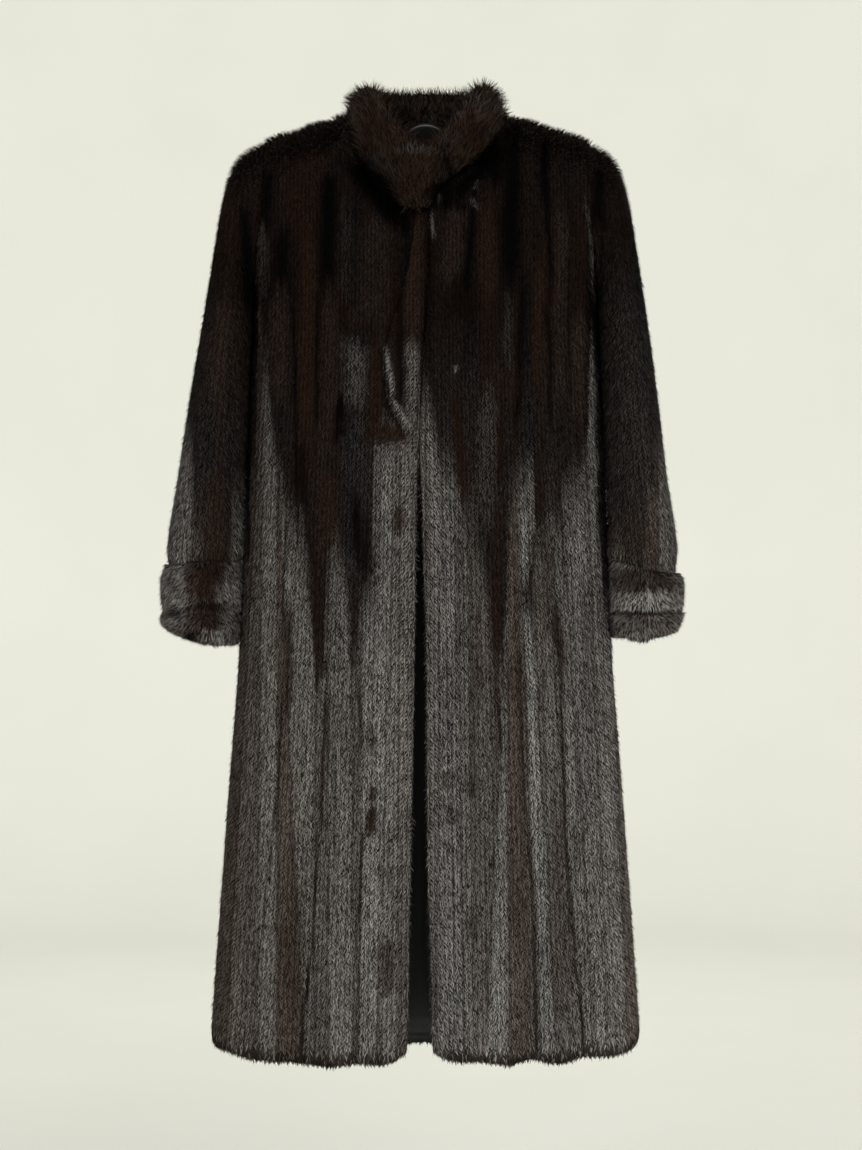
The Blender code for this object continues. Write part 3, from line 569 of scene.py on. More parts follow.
def make_hair_tree():
    """Geometry Nodes that plant locks of hair on a skin, combed along its nap.  Sockets 2 and 3
    of a random value are the least and the greatest number."""
    tree = bpy.data.node_groups.new("planted hair", "GeometryNodeTree")
    made = {}
    for name, kind in (("Skin", "NodeSocketGeometry"), ("Spacing", "NodeSocketFloat"),
                       ("Tries per area", "NodeSocketFloat"),
                       ("Length", "NodeSocketFloat"), ("Width", "NodeSocketFloat"),
                       ("Lift", "NodeSocketFloat"), ("Spread", "NodeSocketFloat"),
                       ("Lean", "NodeSocketFloat"), ("Strays", "NodeSocketFloat"),
                       ("Seed", "NodeSocketInt"), ("Pattern", "NodeSocketObject"),
                       ("Hair", "NodeSocketMaterial")):
        made[name] = tree.interface.new_socket(name=name, in_out="INPUT", socket_type=kind)
    tree.interface.new_socket(name="Fur", in_out="OUTPUT", socket_type="NodeSocketGeometry")
    given = add_node(tree, "NodeGroupInput").outputs
    cover = add_node(tree, "GeometryNodeInputNamedAttribute", {"Name": "cover"}, data_type="FLOAT")
    nap = add_node(tree, "GeometryNodeInputNamedAttribute", {"Name": "nap"},
                   data_type="FLOAT_VECTOR")
    roots = add_node(tree, "GeometryNodeDistributePointsOnFaces",
                     {"Mesh": given["Skin"], "Distance Min": given["Spacing"],
                      "Density Max": given["Tries per area"], "Density Factor": cover.outputs[0],
                      "Seed": given["Seed"]},
                     distribute_method="POISSON")
    upright = add_node(tree, "FunctionNodeAlignRotationToVector",
                       {"Vector": roots.outputs["Normal"]}, axis="Z")
    combed = add_node(tree, "FunctionNodeAlignRotationToVector",
                      {"Rotation": upright.outputs[0], "Vector": nap.outputs[0]},
                      axis="Y", pivot_axis="Z")
    swing = add_node(tree, "FunctionNodeRandomValue", {2: -1.0, 3: 1.0, "Seed": 1}, data_type="FLOAT")
    roll = add_node(tree, "FunctionNodeRandomValue", {2: -0.5, 3: 0.5, "Seed": 2}, data_type="FLOAT")
    raising = add_node(tree, "FunctionNodeRandomValue", {2: 0.35, 3: 1.65, "Seed": 3},
                       data_type="FLOAT")
    long = add_node(tree, "FunctionNodeRandomValue", {2: 0.85, 3: 1.15, "Seed": 4}, data_type="FLOAT")
    wide = add_node(tree, "FunctionNodeRandomValue", {2: 0.6, 3: 1.4, "Seed": 5}, data_type="FLOAT")
    across = add_node(tree, "GeometryNodeInputNamedAttribute", {"Name": "across"},
                      data_type="FLOAT")
    turns = add_node(tree, "ShaderNodeMath", {0: across.outputs[0], 1: 2 * math.pi},
                     operation="MULTIPLY")
    wave = add_node(tree, "ShaderNodeMath", {0: turns.outputs[0]}, operation="SINE")
    side = add_node(tree, "ShaderNodeMapRange",
                    {"Value": wave.outputs[0], "From Min": -0.4, "From Max": 0.4, "To Min": -1.0})
    lean = add_node(tree, "ShaderNodeMath", {0: side.outputs["Result"], 1: given["Lean"]},
                    operation="MULTIPLY")
    turn = add_node(tree, "ShaderNodeMath",
                    {0: swing.outputs[1], 1: given["Spread"], 2: lean.outputs[0]},
                    operation="MULTIPLY_ADD")
    luck = add_node(tree, "FunctionNodeRandomValue", {2: 0.0, 3: 1.0, "Seed": 6}, data_type="FLOAT")
    standing = add_node(tree, "GeometryNodeInputNamedAttribute", {"Name": "standing"},
                        data_type="FLOAT")
    strays = add_node(tree, "ShaderNodeMath",
                      {0: standing.outputs[0], 1: STANDING_SHARE, 2: given["Strays"]},
                      operation="MULTIPLY_ADD")
    stray = add_node(tree, "ShaderNodeMath", {0: luck.outputs[1], 1: strays.outputs[0]},
                     operation="LESS_THAN")
    steeper = add_node(tree, "ShaderNodeMath",
                       {0: standing.outputs[0], 1: STANDING_LIFT, 2: STRAY_LIFT},
                       operation="MULTIPLY_ADD")
    raised = add_node(tree, "ShaderNodeMath",
                      {0: stray.outputs[0], 1: steeper.outputs[0], 2: raising.outputs[1]},
                      operation="MULTIPLY_ADD")
    lift = add_node(tree, "ShaderNodeMath", {0: raised.outputs[0], 1: given["Lift"]},
                    operation="MULTIPLY")
    angles = add_node(tree, "ShaderNodeCombineXYZ",
                      {"X": lift.outputs[0], "Y": roll.outputs[1], "Z": turn.outputs[0]})
    bent = add_node(tree, "FunctionNodeEulerToRotation", {"Euler": angles.outputs[0]})
    laid = add_node(tree, "FunctionNodeRotateRotation",
                    {"Rotation": combed.outputs[0], "Rotate By": bent.outputs[0]},
                    rotation_space="LOCAL")
    reach = add_node(tree, "ShaderNodeMath",
                     {0: standing.outputs[0], 1: STANDING_LENGTH, 2: STRAY_LENGTH},
                     operation="MULTIPLY_ADD")
    longer = add_node(tree, "ShaderNodeMath",
                      {0: stray.outputs[0], 1: reach.outputs[0], 2: long.outputs[1]},
                      operation="MULTIPLY_ADD")
    length = add_node(tree, "ShaderNodeMath", {0: longer.outputs[0], 1: given["Length"]},
                      operation="MULTIPLY")
    broader = add_node(tree, "ShaderNodeMath",
                       {0: stray.outputs[0], 1: STRAY_WIDTH, 2: wide.outputs[1]},
                       operation="MULTIPLY_ADD")
    width = add_node(tree, "ShaderNodeMath", {0: broader.outputs[0], 1: given["Width"]},
                     operation="MULTIPLY")
    size = add_node(tree, "ShaderNodeCombineXYZ",
                    {"X": width.outputs[0], "Y": length.outputs[0], "Z": 1.0})
    shape = add_node(tree, "GeometryNodeObjectInfo", {"Object": given["Pattern"]})
    planted = add_node(tree, "GeometryNodeInstanceOnPoints",
                       {"Points": roots.outputs["Points"], "Instance": shape.outputs["Geometry"],
                        "Rotation": laid.outputs[0], "Scale": size.outputs[0]})
    real = add_node(tree, "GeometryNodeRealizeInstances", {"Geometry": planted.outputs["Instances"]})
    finished = add_node(tree, "GeometryNodeSetMaterial",
                        {"Geometry": real.outputs["Geometry"], "Material": given["Hair"]})
    add_node(tree, "NodeGroupOutput", {"Fur": finished.outputs["Geometry"]})
    return tree, {name: socket.identifier for name, socket in made.items()}


hair_pattern = make_hair_pattern()
hair_tree, hair_inputs = make_hair_tree()


# Where each sleeve hangs against the body
Seam = namedtuple("Seam", "z x")
SLEEVE_SEAM = [Seam(-660, 232), Seam(-550, 227.5), Seam(-400, 221), Seam(-240, 213), Seam(-160, 204),
               Seam(-60, 200)]
SLEEVE_SEAM_REACH = 13.0       # to either side of the place where they touch
SLEEVE_SEAM_LOW = -680.0
SLEEVE_SEAM_FADE = 20.0
NECK_FUR = 165 * MM            # round the neck the walls are furred on both sides, this far out
NECK_FALL = 0.5                # and less far lower down

# CAD triangles join into four-sided faces up to these degrees between them and out of square
JOIN_ANGLE = 40.0
JOIN_SHAPE = 60.0

# How far a wall faces out of its piece, from -1 to 1: where it begins to sink under its hair and
# to bear hair, over what both grow, and below what it is lined
SINK_FROM = 0.3
SINK_FADE = 0.5
COVER_FROM = -0.6
COVER_FADE = 0.3
LINED_BELOW = -0.6
STANDING_FROM = 0.2            # and how far it faces up where its strays begin to stand
STANDING_FADE = 0.5
OUTER_FADE = 0.3


def beside_sleeve(places):
    """1 where a sleeve and the body touch, 0 elsewhere."""
    x, _, z = in_mm(places)
    seam = look_up(SLEEVE_SEAM, "z", "x", z)
    touch = np.exp(-((np.abs(x) - seam) / SLEEVE_SEAM_REACH) ** 2)
    return touch * ease((z - SLEEVE_SEAM_LOW) / SLEEVE_SEAM_FADE)


def outer_side(normals, away):
    """1 on the side of a wall that faces away from its piece, 0 on the other."""
    return ease((normals * away).sum(axis=1) / OUTER_FADE)


def skin_of(node, name, outward, loft, sharp=50.0, reshape=None):
    """Finer copy of a CAD wall: wool on its furred side, which lies lower by the hair's loft but
    not where a sleeve touches the body, and satin inside away from the neck.  outward gives the
    way out of the piece at points, reshape moves the points, and edges sharper than some degrees
    stay sharp."""
    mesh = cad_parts[node].data.copy()
    work = bmesh.new()
    work.from_mesh(mesh)
    bmesh.ops.remove_doubles(work, verts=work.verts, dist=0.01 * MM)
    bmesh.ops.join_triangles(work, faces=work.faces,
                             angle_face_threshold=math.radians(JOIN_ANGLE),
                             angle_shape_threshold=math.radians(JOIN_SHAPE))
    crease = work.edges.layers.float.new("crease_edge")
    for edge in work.edges:
        if edge.calc_face_angle(0.0) > math.radians(sharp):
            edge[crease] = 1.0
    work.to_mesh(mesh)
    work.free()
    mesh.name = name
    mesh.materials.clear()
    skin = add_object(name, mesh)
    smoothing = skin.modifiers.new("smoothing", "SUBSURF")
    smoothing.levels = 1
    smoothing.render_levels = 1
    finer = plain_mesh(skin)
    places, normals = read_points(finer)
    facing = (normals * outward(places, normals)).sum(axis=1)
    sinking = loft * ease((facing - SINK_FROM) / SINK_FADE) * (1.0 - beside_sleeve(places))
    places -= normals * sinking[:, None]
    if reshape:
        places = reshape(places, normals)
    finer.vertices.foreach_set("co", places.astype(np.float32).ravel())
    finer.update()
    finer.shade_smooth()
    write_values(finer, "cover", ease((facing - COVER_FROM) / COVER_FADE))
    write_values(finer, "standing", ease((normals[:, 2] - STANDING_FROM) / STANDING_FADE))
    finer.materials.append(wool)
    finer.materials.append(satin)
    middles = read_array(finer.polygons, "center")
    ways = read_array(finer.polygons, "normal")
    inside = (ways * outward(middles, ways)).sum(axis=1) < LINED_BELOW
    from_neck = np.abs(middles[:, 0]) + NECK_FALL * np.abs(middles[:, 2])
    lined = inside & (from_neck > NECK_FUR)
    finer.polygons.foreach_set("material_index", lined.astype(np.int32))
    return skin


def comb(skin, way, slant, columns):
    """Stores the nap on a skin: a direction along it, turned by an angle for each point, and how
    many pairs of leaning columns lie between the middle and each point."""
    places, normals = read_points(skin.data)
    along = way(places)
    along = unit(along - normals * (along * normals).sum(axis=1)[:, None])
    across = np.cross(normals, along)
    angle = slant(places)[:, None]
    nap = along * np.cos(angle) + across * np.sin(angle)
    layer = skin.data.attributes.new("nap", "FLOAT_VECTOR", "POINT")
    layer.data.foreach_set("vector", nap.astype(np.float32).ravel())
    write_values(skin.data, "across", columns(places))


def plant_hair(skin, name, seed, tones, length=HAIR_LENGTH, width=HAIR_WIDTH, lift=HAIR_LIFT,
               spread=HAIR_SPREAD, spacing=HAIR_SPACING, lean=HAIR_LEAN, strays=0.1, half=0,
               columns=None):
    """Covers a skin, or the half of it that lies at -X or +X, with guard hair in one mesh, and
    stores each lock's tone.  columns gives the pairs of leaning columns, as in comb."""
    carrier = add_object(name, skin.data.copy())
    if half:
        places = read_points(carrier.data)[0]
        layer = carrier.data.attributes["cover"].data
        cover = read_array(layer, "value", 1)[:, 0]
        cover *= ease(0.5 + half * places[:, 0] / HALVES_MEET).astype(np.float32)
        layer.foreach_set("value", cover)
    growing = carrier.modifiers.new("planted hair", "NODES")
    growing.node_group = hair_tree
    for key, value in (("Spacing", spacing), ("Tries per area", HAIR_TRIES), ("Length", length),
                       ("Width", width), ("Lift", math.radians(lift)),
                       ("Spread", math.radians(spread)), ("Lean", math.radians(lean)),
                       ("Strays", strays), ("Seed", seed), ("Pattern", hair_pattern),
                       ("Hair", guard_hair)):
        growing[hair_inputs[key]] = value
    mesh = plain_mesh(carrier)
    for layer in ("cover", "standing", "nap", "across", "silver", "brown"):
        if layer in mesh.attributes:
            mesh.attributes.remove(mesh.attributes[layer])
    places, normals = read_points(mesh)
    roots = places.reshape(-1, 3, 3)[:, :2].mean(axis=1)
    silver, brown = tones(roots)
    chance = np.random.default_rng(seed).random(len(roots))
    locks = chance
    if columns:
        light = dashes(columns(roots), roots[:, 2] / MM, seed)
        locks = np.clip(0.5 + DASH_DEPTH * light + LOCK_CHANCE * (chance - 0.5), 0.0, 1.0)
    write_values(mesh, "silver", np.repeat(silver, 3))
    write_values(mesh, "brown", np.repeat(brown, 3))
    write_values(mesh, "lock", np.repeat(locks, 3))
    write_values(mesh, "tip", np.tile([0.0, 0.0, 1.0], len(roots)))
    return carrier


def finish_fur(node, skin, hairs, tones):
    """Tones of the skin, and the frame's facts about a furred panel."""
    silver, brown = tones(read_points(skin.data)[0])
    write_values(skin.data, "silver", silver)
    write_values(skin.data, "brown", brown)
    for piece in [skin] + hairs:
        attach(piece, "root")
    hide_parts(node)


BODY_OVAL = 0.12               # how much of the way out is sideways on the flat body
SHOULDER_LOW = -110 * MM       # above this the way out turns up on the shoulders
SHOULDER_FADE = 70 * MM
SHOULDER_DEPTH = 38 * MM


def body_outward(places, normals):
    """Way out of the body at points: square to ovals round its middle, and up on the shoulders."""
    way = np.zeros_like(places)
    way[:, 0] = places[:, 0] * BODY_OVAL
    way[:, 1] = places[:, 1]
    way = unit(way)
    rising = ease((places[:, 2] - SHOULDER_LOW) / SHOULDER_FADE)
    rising = rising * np.exp(-(places[:, 1] / SHOULDER_DEPTH) ** 2)
    way *= (1.0 - rising)[:, None]
    way[:, 2] = rising
    return unit(way)


# How far the hem rises above its even line, in millimetres
Rise = namedtuple("Rise", "x rise")
HEM_RISES = [
    Rise(-259, 0), Rise(-254, 3), Rise(-245, 5), Rise(-235, 3.5), Rise(-216, 0), Rise(-177, 2.5),
    Rise(-157, 1), Rise(-118, -1), Rise(-99, 1), Rise(-79, 4), Rise(-60, 0), Rise(-41, -6),
    Rise(-26, -3), Rise(8, 0), Rise(13, -5), Rise(28, -2), Rise(47, 3.5), Rise(66, 6), Rise(86, 2.5),
    Rise(105, 0), Rise(115, 4), Rise(135, 7), Rise(154, 1), Rise(173, 1), Rise(193, 6), Rise(212, 4.5),
    Rise(232, 2.5), Rise(256, 1),
]
HEM_REACH = 60 * MM            # the waves of the hem fade out above it over this height
SETTLE_LOW = -130.0            # and the shoulders settle above this height
SETTLE_FADE = 60.0
SHOULDER_RISES = [
    Rise(-245, -1), Rise(-232, -2), Rise(-219, -5), Rise(-207, -9), Rise(-195, -5.5), Rise(-183, -1.5),
    Rise(-170, -3), Rise(-158, -3), Rise(-146, -0.5), Rise(-134, 0), Rise(-122, -2.5), Rise(-110, 1),
    Rise(-98, 0), Rise(98, 0), Rise(110, -1), Rise(122, 1), Rise(134, 2), Rise(146, 0), Rise(160, -1),
    Rise(172, 0), Rise(183, -1.5), Rise(195, -4), Rise(207, -8), Rise(219, -5), Rise(232, -2),
    Rise(245, -1),
]


def settle_shoulders(places):
    """Lets the shoulders sink a little beyond the hanger's ends."""
    x, _, z = in_mm(places)
    rise = look_up(SHOULDER_RISES, "x", "rise", x)
    places = places.copy()
    places[:, 2] += rise * MM * ease((z - SETTLE_LOW) / SETTLE_FADE)
    return places


def wave_hem(places, normals):
    """Settles a body panel's shoulder and lets its hem fall in shallow lobes."""
    rise = look_up(HEM_RISES, "x", "rise", places[:, 0] / MM)
    places = settle_shoulders(places)
    places[:, 2] += rise * MM * ease((BODY_HEM + HEM_REACH - places[:, 2]) / HEM_REACH)
    return places


def downwards(places):
    """The nap's way on the body."""
    way = np.zeros_like(places)
    way[:, 2] = -1.0
    return way


def body_slant(places):
    """Angle of the nap, which wanders a little from pelt to pelt."""
    x, _, z = in_mm(places)
    return NAP_WANDER * (mottle(x, z, NAP_PATCH, 71) - 0.5)


def body_columns(places):
    """Pairs of leaning columns from the middle; they widen towards the hem as the strips do."""
    x, _, z = in_mm(places)
    return x / (1.0 + COLUMN_SPREAD * np.clip(strips_down(z), *STRIP_SPREADS)) / COLUMN_PAIR


def back_tones(points):
    """Tones of the back."""
    return pelt_tones(points, BACK_STRIPS, BACK_SILVER_AND_SHEEN, BACK_STREAKS, 11)


pelt_back = skin_of("back", "pelt_back", body_outward, HAIR_LOFT, reshape=wave_hem)
comb(pelt_back, downwards, body_slant, body_columns)
fur_back_right = plant_hair(pelt_back, "fur_back_right", 21, back_tones, half=-1,
                            columns=body_columns)
fur_back_left = plant_hair(pelt_back, "fur_back_left", 22, back_tones, half=1,
                           columns=body_columns)
finish_fur("back", pelt_back, [fur_back_right, fur_back_left], back_tones)

# ---------------------------------------------------------------------------------------------
# Fronts.  Two panels of the same let-out mink.  The wearer's right one laps over the left at
# the chest; below the waist they hang apart, and their hair bristles out over the edges.
# ---------------------------------------------------------------------------------------------
FRONT_STRIPS = [
    Strip(-300, -280, 0.40, 0.45, 0.8), Strip(-241, -222, 0.62, 0.58, 0.6),
    Strip(-206, -203, 0.82, 0.85, 0.4), Strip(-181, -181, 0.45, 0.50, 0.9),
    Strip(-152, -168, 0.60, 0.95, 0.4), Strip(-135, -133, 0.66, 0.68, 0.4),
    Strip(-118, -118, 0.95, 0.78, 0.3), Strip(-88, -89, 0.70, 0.62, 0.5),
    Strip(-80, -77, 1.00, 1.00, 0.2), Strip(-57, -45, 0.82, 1.00, 0.3),
    Strip(-32, -32, 0.75, 1.00, 0.5), Strip(0, 0, 0.70, 0.95, 0.3),
    Strip(13, 16, 0.85, 0.82, 0.1), Strip(38, 27, 0.95, 0.70, 0.1),
    Strip(46, 40, 0.85, 0.70, 0.3), Strip(60, 55, 0.76, 0.55, 0.5),
    Strip(76, 93, 1.00, 0.66, 0.2), Strip(102, 101, 0.64, 0.62, 0.9),
    Strip(124, 114, 0.62, 0.68, 0.7), Strip(137, 122, 0.85, 1.05, 0.1),
    Strip(157, 136, 0.74, 0.82, 0.5), Strip(182, 160, 0.95, 0.85, 0.3),
    Strip(205, 181, 1.10, 0.75, 0.2), Strip(222, 209, 1.18, 1.00, 0.3),
    Strip(246, 235, 0.95, 0.95, 0.8),
]
FRONT_SILVER_AND_SHEEN = [
    Start(-262, -560), Start(-222, -520), Start(-212, -480), Start(-204, -285), Start(-196, -325),
    Start(-186, -440), Start(-178, -480), Start(-169, -530), Start(-156, -535), Start(-150, -540),
    Start(-144, -590), Start(-135, -680), Start(-125, -690), Start(-118, -560), Start(-108, -550),
    Start(-100, -585), Start(-93, -640), Start(-84, -680), Start(-76, -595), Start(-68, -570),
    Start(-59, -420), Start(-42, -420), Start(-33, -400), Start(-24, -370), Start(-14, -330),
    Start(0, -380), Start(9, -410), Start(18, -450), Start(35, -460), Start(44, -490),
    Start(52, -520), Start(60, -540), Start(69, -560), Start(77, -610), Start(86, -700),
    Start(94, -680), Start(103, -490), Start(111, -470), Start(128, -475), Start(138, -560),
    Start(147, -545), Start(160, -530), Start(171, -505), Start(188, -480), Start(197, -440),
    Start(205, -320), Start(212, -560), Start(224, -640), Start(270, -640),
]
FRONT_STREAKS_AND_PAINTED_LIGHT = [
    Streak(-191, -90, -199, -163, 9.5, 0.9, 0, 0), Streak(-199, -165, -203, -240, 8, 0.8, 0.15, 0.3),
    Streak(-152, -66, -156, -163, 17, 0.7, 0.03, 0.75), Streak(-174, -169, -179, -233, 9.5, 0.9, 0, 0.05),
    Streak(-179, -242, -182, -376, 14.5, 0.8, 0.12, 0.75),
    Streak(-161, -248, -155, -522, 2.5, 0.95, 0, 0.1), Streak(-116, -94, -121, -233, 11, 0.95, 0, 0),
    Streak(-126, -60, -130, -99, 19.5, 0.5, 0.05, 0.7), Streak(-143, -163, -145, -413, 9, 0.85, 0.05, 1),
    Streak(-130, -236, -133, -413, 2.5, 0.9, 0, 0.1), Streak(-116, -242, -116, -425, 9.5, 0.7, 0.12, 0.8),
    Streak(-104, -371, -105, -425, 7.5, 0.95, 0, 0), Streak(-84, -391, -78, -600, 16, 0.8, 0.17, 0),
    Streak(-84, -492, -83, -564, 6, 0.9, 0, 0.1), Streak(-98, -139, -98, -254, 8.5, 0.6, 0.12, 0.1),
    Streak(-62, -151, -67, -279, 20.5, 0.7, 0.1, 0.5), Streak(-89, -258, -89, -289, 6, 0.8, 0.05, 0.7),
    Streak(-85, -301, -84, -378, 14.5, 0.85, 0.48, 0.2), Streak(-59, -301, -58, -420, 8.5, 0.9, 0.04, 0.9),
    # painted highlight: the two silver rows from (-50, -303) to (-16, -415), along the lapel's outer edge
    Streak(-41, -405, -41, -427, 24.5, 0.9, 0.04, 0.9), Streak(-50, -303, -41, -374, 4, 0.9, 1, 0.2),
    Streak(-39, -374, -16, -415, 4, 0.9, 1, 0.2), Streak(-31, -504, -31, -536, 6.5, 0.85, 0.05, 0.9),
    Streak(-120, -459, -118, -544, 9.5, 0.85, 0.1, 0.9), Streak(-150, -419, -147, -507, 6.5, 0.95, 0, 0.3),
    Streak(-137, -400, -138, -464, 7.5, 0.8, 0.05, 0.7),
    Streak(-169, -524, -175, -680, 2, 0.85, 0.05, 0.3), Streak(-147, -507, -134, -577, 3, 0.9, 0.03, 0.6),
    Streak(-134, -571, -133, -729, 2.5, 0.9, 0, 0.4), Streak(-140, -571, -138, -625, 6, 0.7, 0.1, 0.7),
    Streak(-167, -619, -167, -759, 6, 0.85, 0.1, 0.7), Streak(-173, -729, -186, -905, 2, 0.8, 0.05, 0.3),
    Streak(-186, -899, -213, -1124, 1.5, 0.7, 0.1, 0.3),
    Streak(-130, -619, -127, -716, 6.5, 0.9, 0.05, 0.6),
    Streak(-121, -729, -129, -905, 3, 0.85, 0.08, 0.7),
    Streak(-129, -899, -141, -1063, 2, 0.85, 0.05, 0.4),
    Streak(-141, -1057, -154, -1181, 3, 0.9, 0.03, 0.3),
    Streak(-163, -941, -162, -1105, 9, 0.75, 0.25, 0.75), Streak(-88, -613, -87, -698, 4.5, 0.9, 0.1, 0.3),
    Streak(-83, -710, -76, -795, 2.5, 0.8, 0.1, 0.5), Streak(-77, -905, -81, -1014, 2.5, 0.8, 0.1, 0.6),
    Streak(-82, -1014, -84, -1178, 2, 0.75, 0.1, 0.5), Streak(-66, -767, -66, -799, 8, 0.6, 0.3, 0.8),
    Streak(-65, -843, -65, -861, 6, 0.85, 0.12, 0.8), Streak(-65, -868, -66, -906, 8, 0.95, 0.03, 0.75),
    Streak(-43, -896, -42, -929, 6.5, 0.5, 0.35, 0.4),
    Streak(-48, -1032, -45, -1091, 13.5, 0.75, 0.2, 0.75),
    Streak(-111, -729, -109, -972, 2, 0.5, 0.3, 0.3), Streak(36, -139, 30, -230, 14.5, 0.6, 0.1, 0.7),
    Streak(45, -225, 45, -272, 17, 0.9, 0, 0.3), Streak(60, -121, 49, -242, 4.5, 0.9, 0, 0),
    Streak(75, -139, 75, -250, 11, 0.8, 0.04, 0.9), Streak(107, -33, 103, -235, 13.5, 0.95, 0, 0),
    Streak(86, -36, 85, -111, 11, 0.95, 0, 0), Streak(127, -72, 125, -230, 7.5, 0.6, 0.03, 0.5),
    Streak(145, -54, 148, -143, 7.5, 0.95, 0, 0), Streak(149, -139, 154, -242, 3.5, 0.9, 0, 0),
    Streak(150, -242, 154, -413, 3, 0.9, 0, 0.1), Streak(139, -208, 136, -364, 6.5, 0.85, 0.05, 1),
    Streak(119, -236, 111, -413, 5, 0.9, 0, 0.1), Streak(167, -133, 164, -376, 9, 0.7, 0.1, 0.7),
    Streak(176, -133, 177, -376, 1.5, 0.7, 0, 0.2), Streak(190, -269, 186, -398, 9, 0.8, 0.13, 0.9),
    Streak(197, -133, 210, -254, 2.5, 0.6, 0.32, 0.2), Streak(206, -320, 212, -619, 4, 0.6, 0.8, 0.2),
    Streak(100, -250, 100, -323, 6, 0.7, 0.14, 0.3), Streak(91, -330, 97, -378, 19.5, 0.6, 0.05, 0.8),
    Streak(37, -370, 47, -504, 5.5, 0.9, 0.02, 0.85), Streak(76, -366, 74, -522, 13.5, 0.7, 0.33, 0.4),
    Streak(93, -374, 91, -473, 3.5, 0.9, 0, 0.7), Streak(88, -485, 86, -692, 8, 0.8, 0.05, 0.7),
    Streak(141, -434, 135, -524, 5, 0.9, 0.05, 0.6), Streak(135, -522, 128, -613, 3, 0.85, 0.1, 0.6),
    Streak(150, -447, 155, -515, 7.5, 0.7, 0.15, 0.6), Streak(145, -534, 149, -668, 8.5, 0.6, 0.3, 0.9),
    Streak(154, -532, 160, -692, 2, 0.85, 0.1, 0.4), Streak(166, -498, 169, -571, 1.5, 0.6, 0.1, 0.3),
    Streak(62, -619, 64, -729, 7.5, 0.5, 0.35, 0.7), Streak(87, -686, 91, -795, 2.5, 0.85, 0.05, 0.5),
    Streak(57, -835, 57, -860, 5.5, 0.7, 0.2, 0.8), Streak(25, -826, 25, -847, 6, 0.65, 0.2, 0.6),
    Streak(32, -870, 32, -889, 7.5, 0.55, 0.3, 0.6), Streak(56, -994, 56, -1028, 8.5, 0.6, 0.25, 0.7),
    Streak(73, -899, 75, -1124, 2, 0.5, 0.25, 0.4), Streak(105, -686, 108, -741, 16, 0.5, 0.35, 0.9),
    Streak(114, -668, 119, -844, 3, 0.85, 0.1, 0.6), Streak(120, -838, 132, -990, 2.5, 0.85, 0.08, 0.5),
    Streak(132, -984, 136, -1178, 2.5, 0.9, 0.05, 0.3), Streak(114, -923, 118, -1057, 13.5, 0.6, 0.4, 0.8),
    Streak(120, -1057, 120, -1120, 13.5, 0.45, 0.45, 0.5),
    Streak(143, -668, 150, -935, 1.5, 0.5, 0.3, 0.4), Streak(150, -929, 152, -1038, 2, 0.6, 0.25, 0.4),
    Streak(161, -862, 166, -1117, 12, 0.55, 0.42, 0.75), Streak(159, -617, 166, -729, 3.5, 0.9, 0.05, 0.6),
    Streak(165, -643, 166, -694, 6.5, 0.75, 0.15, 0.7), Streak(165, -722, 173, -923, 2.5, 0.85, 0.08, 0.5),
    Streak(173, -917, 184, -1063, 2.5, 0.9, 0.08, 0.5), Streak(184, -1057, 195, -1181, 3, 0.9, 0.05, 0.4),
    Streak(187, -896, 187, -938, 7.5, 0.5, 0.35, 0.4), Streak(182, -741, 198, -935, 1.5, 0.4, 0.35, 0.4),
    # painted shadow: the four near-black rows on this line and the next lie under the collar, and the two
    # thin dark rows after them run along the lapel's outer edge
    Streak(-92, -82, -33, -157, 16, 0.95, 0, 0), Streak(-48, -128, -28, -165, 16, 0.9, 0, 0),
    Streak(9, -101, 29, -140, 20.5, 0.95, 0, 0), Streak(91, -67, 36, -123, 17, 0.92, 0, 0),
    Streak(-54, -306, -47, -376, 2.5, 0.9, 0, 0.2), Streak(-48, -376, -25, -420, 3.5, 0.9, 0, 0.3),
    Streak(64, -104, 60, -117, 2.2, 0.6, 0.4, 0.2), Streak(57, -127, 64, -141, 4.5, 0.5, 0.3, 0.3),
    Streak(17, -122, 17, -134, 2.5, 0.5, 0.4, 0.2), Streak(36, -331, 36, -340, 3, 0.8, 0.9, 0.2),
    # painted shadow: the last row, in the gap beside the sleeve
    Streak(8, -143, 9, -179, 2.2, 0.7, 0.7, 0.3), Streak(-217, -376, -218, -571, 3, 0.9, 0, 0),
]

# Painted shade and light of soft folds: how much duller the silver is round some points, or below 0 how
# much brighter
Fold = namedtuple("Fold", "x z half_width half_height part")
FRONT_FOLD_SHADING = [
    Fold(-125, -240, 75, 170, 0.35), Fold(-120, -470, 75, 150, 0.3), Fold(-72, -562, 15, 62, 0.85),
    Fold(95, -420, 60, 90, 0.2), Fold(126, -616, 13, 32, 0.75), Fold(-169, -600, 9, 55, -0.5),
    Fold(28, -640, 8, 50, -0.35), Fold(188, -260, 11, 75, -0.6), Fold(186, -560, 16, 42, -0.35),
    Fold(-169, -890, 10, 95, -0.55), Fold(-145, -890, 9, 90, -0.2), Fold(-22, -870, 12, 95, -0.3),
    Fold(126, -880, 10, 65, -0.35), Fold(174, -830, 10, 115, -0.3), Fold(150, -840, 11, 95, -0.2),
    Fold(52, -560, 30, 60, 0.12), Fold(-30, -560, 20, 90, 0.1),
    Fold(-46, -950, 11, 24, 0.3),
]
FRONT_SPACING = 0.88 * MM
HEM_SHADE_BORDER = 22 * MM           # painted shade where the hem rounds under, over a border of browner hair
HEM_SHADE = 0.65             # how much duller its silver is in that painted shade, and how brown it is
BORDER_BROWN = 0.7
EDGE_FLARE = 0.5               # radians that the nap turns out over a front edge
EDGE_REACH = 16.0              # millimetres from the edge in which it turns

# Front edges of the wearer's right and left fronts, in millimetres, from the hem up
Edge = namedtuple("Edge", "z right left")
FRONT_EDGES = [
    Edge(-1186, -23.0, 9.5), Edge(-900, -17.0, 2.5), Edge(-670, -13.5, 1.0),
    Edge(-520, -11.0, -3.0), Edge(-420, -8.5, -7.5), Edge(-238, 0.7, 1.3), Edge(-140, 2.5, 3.1),
]


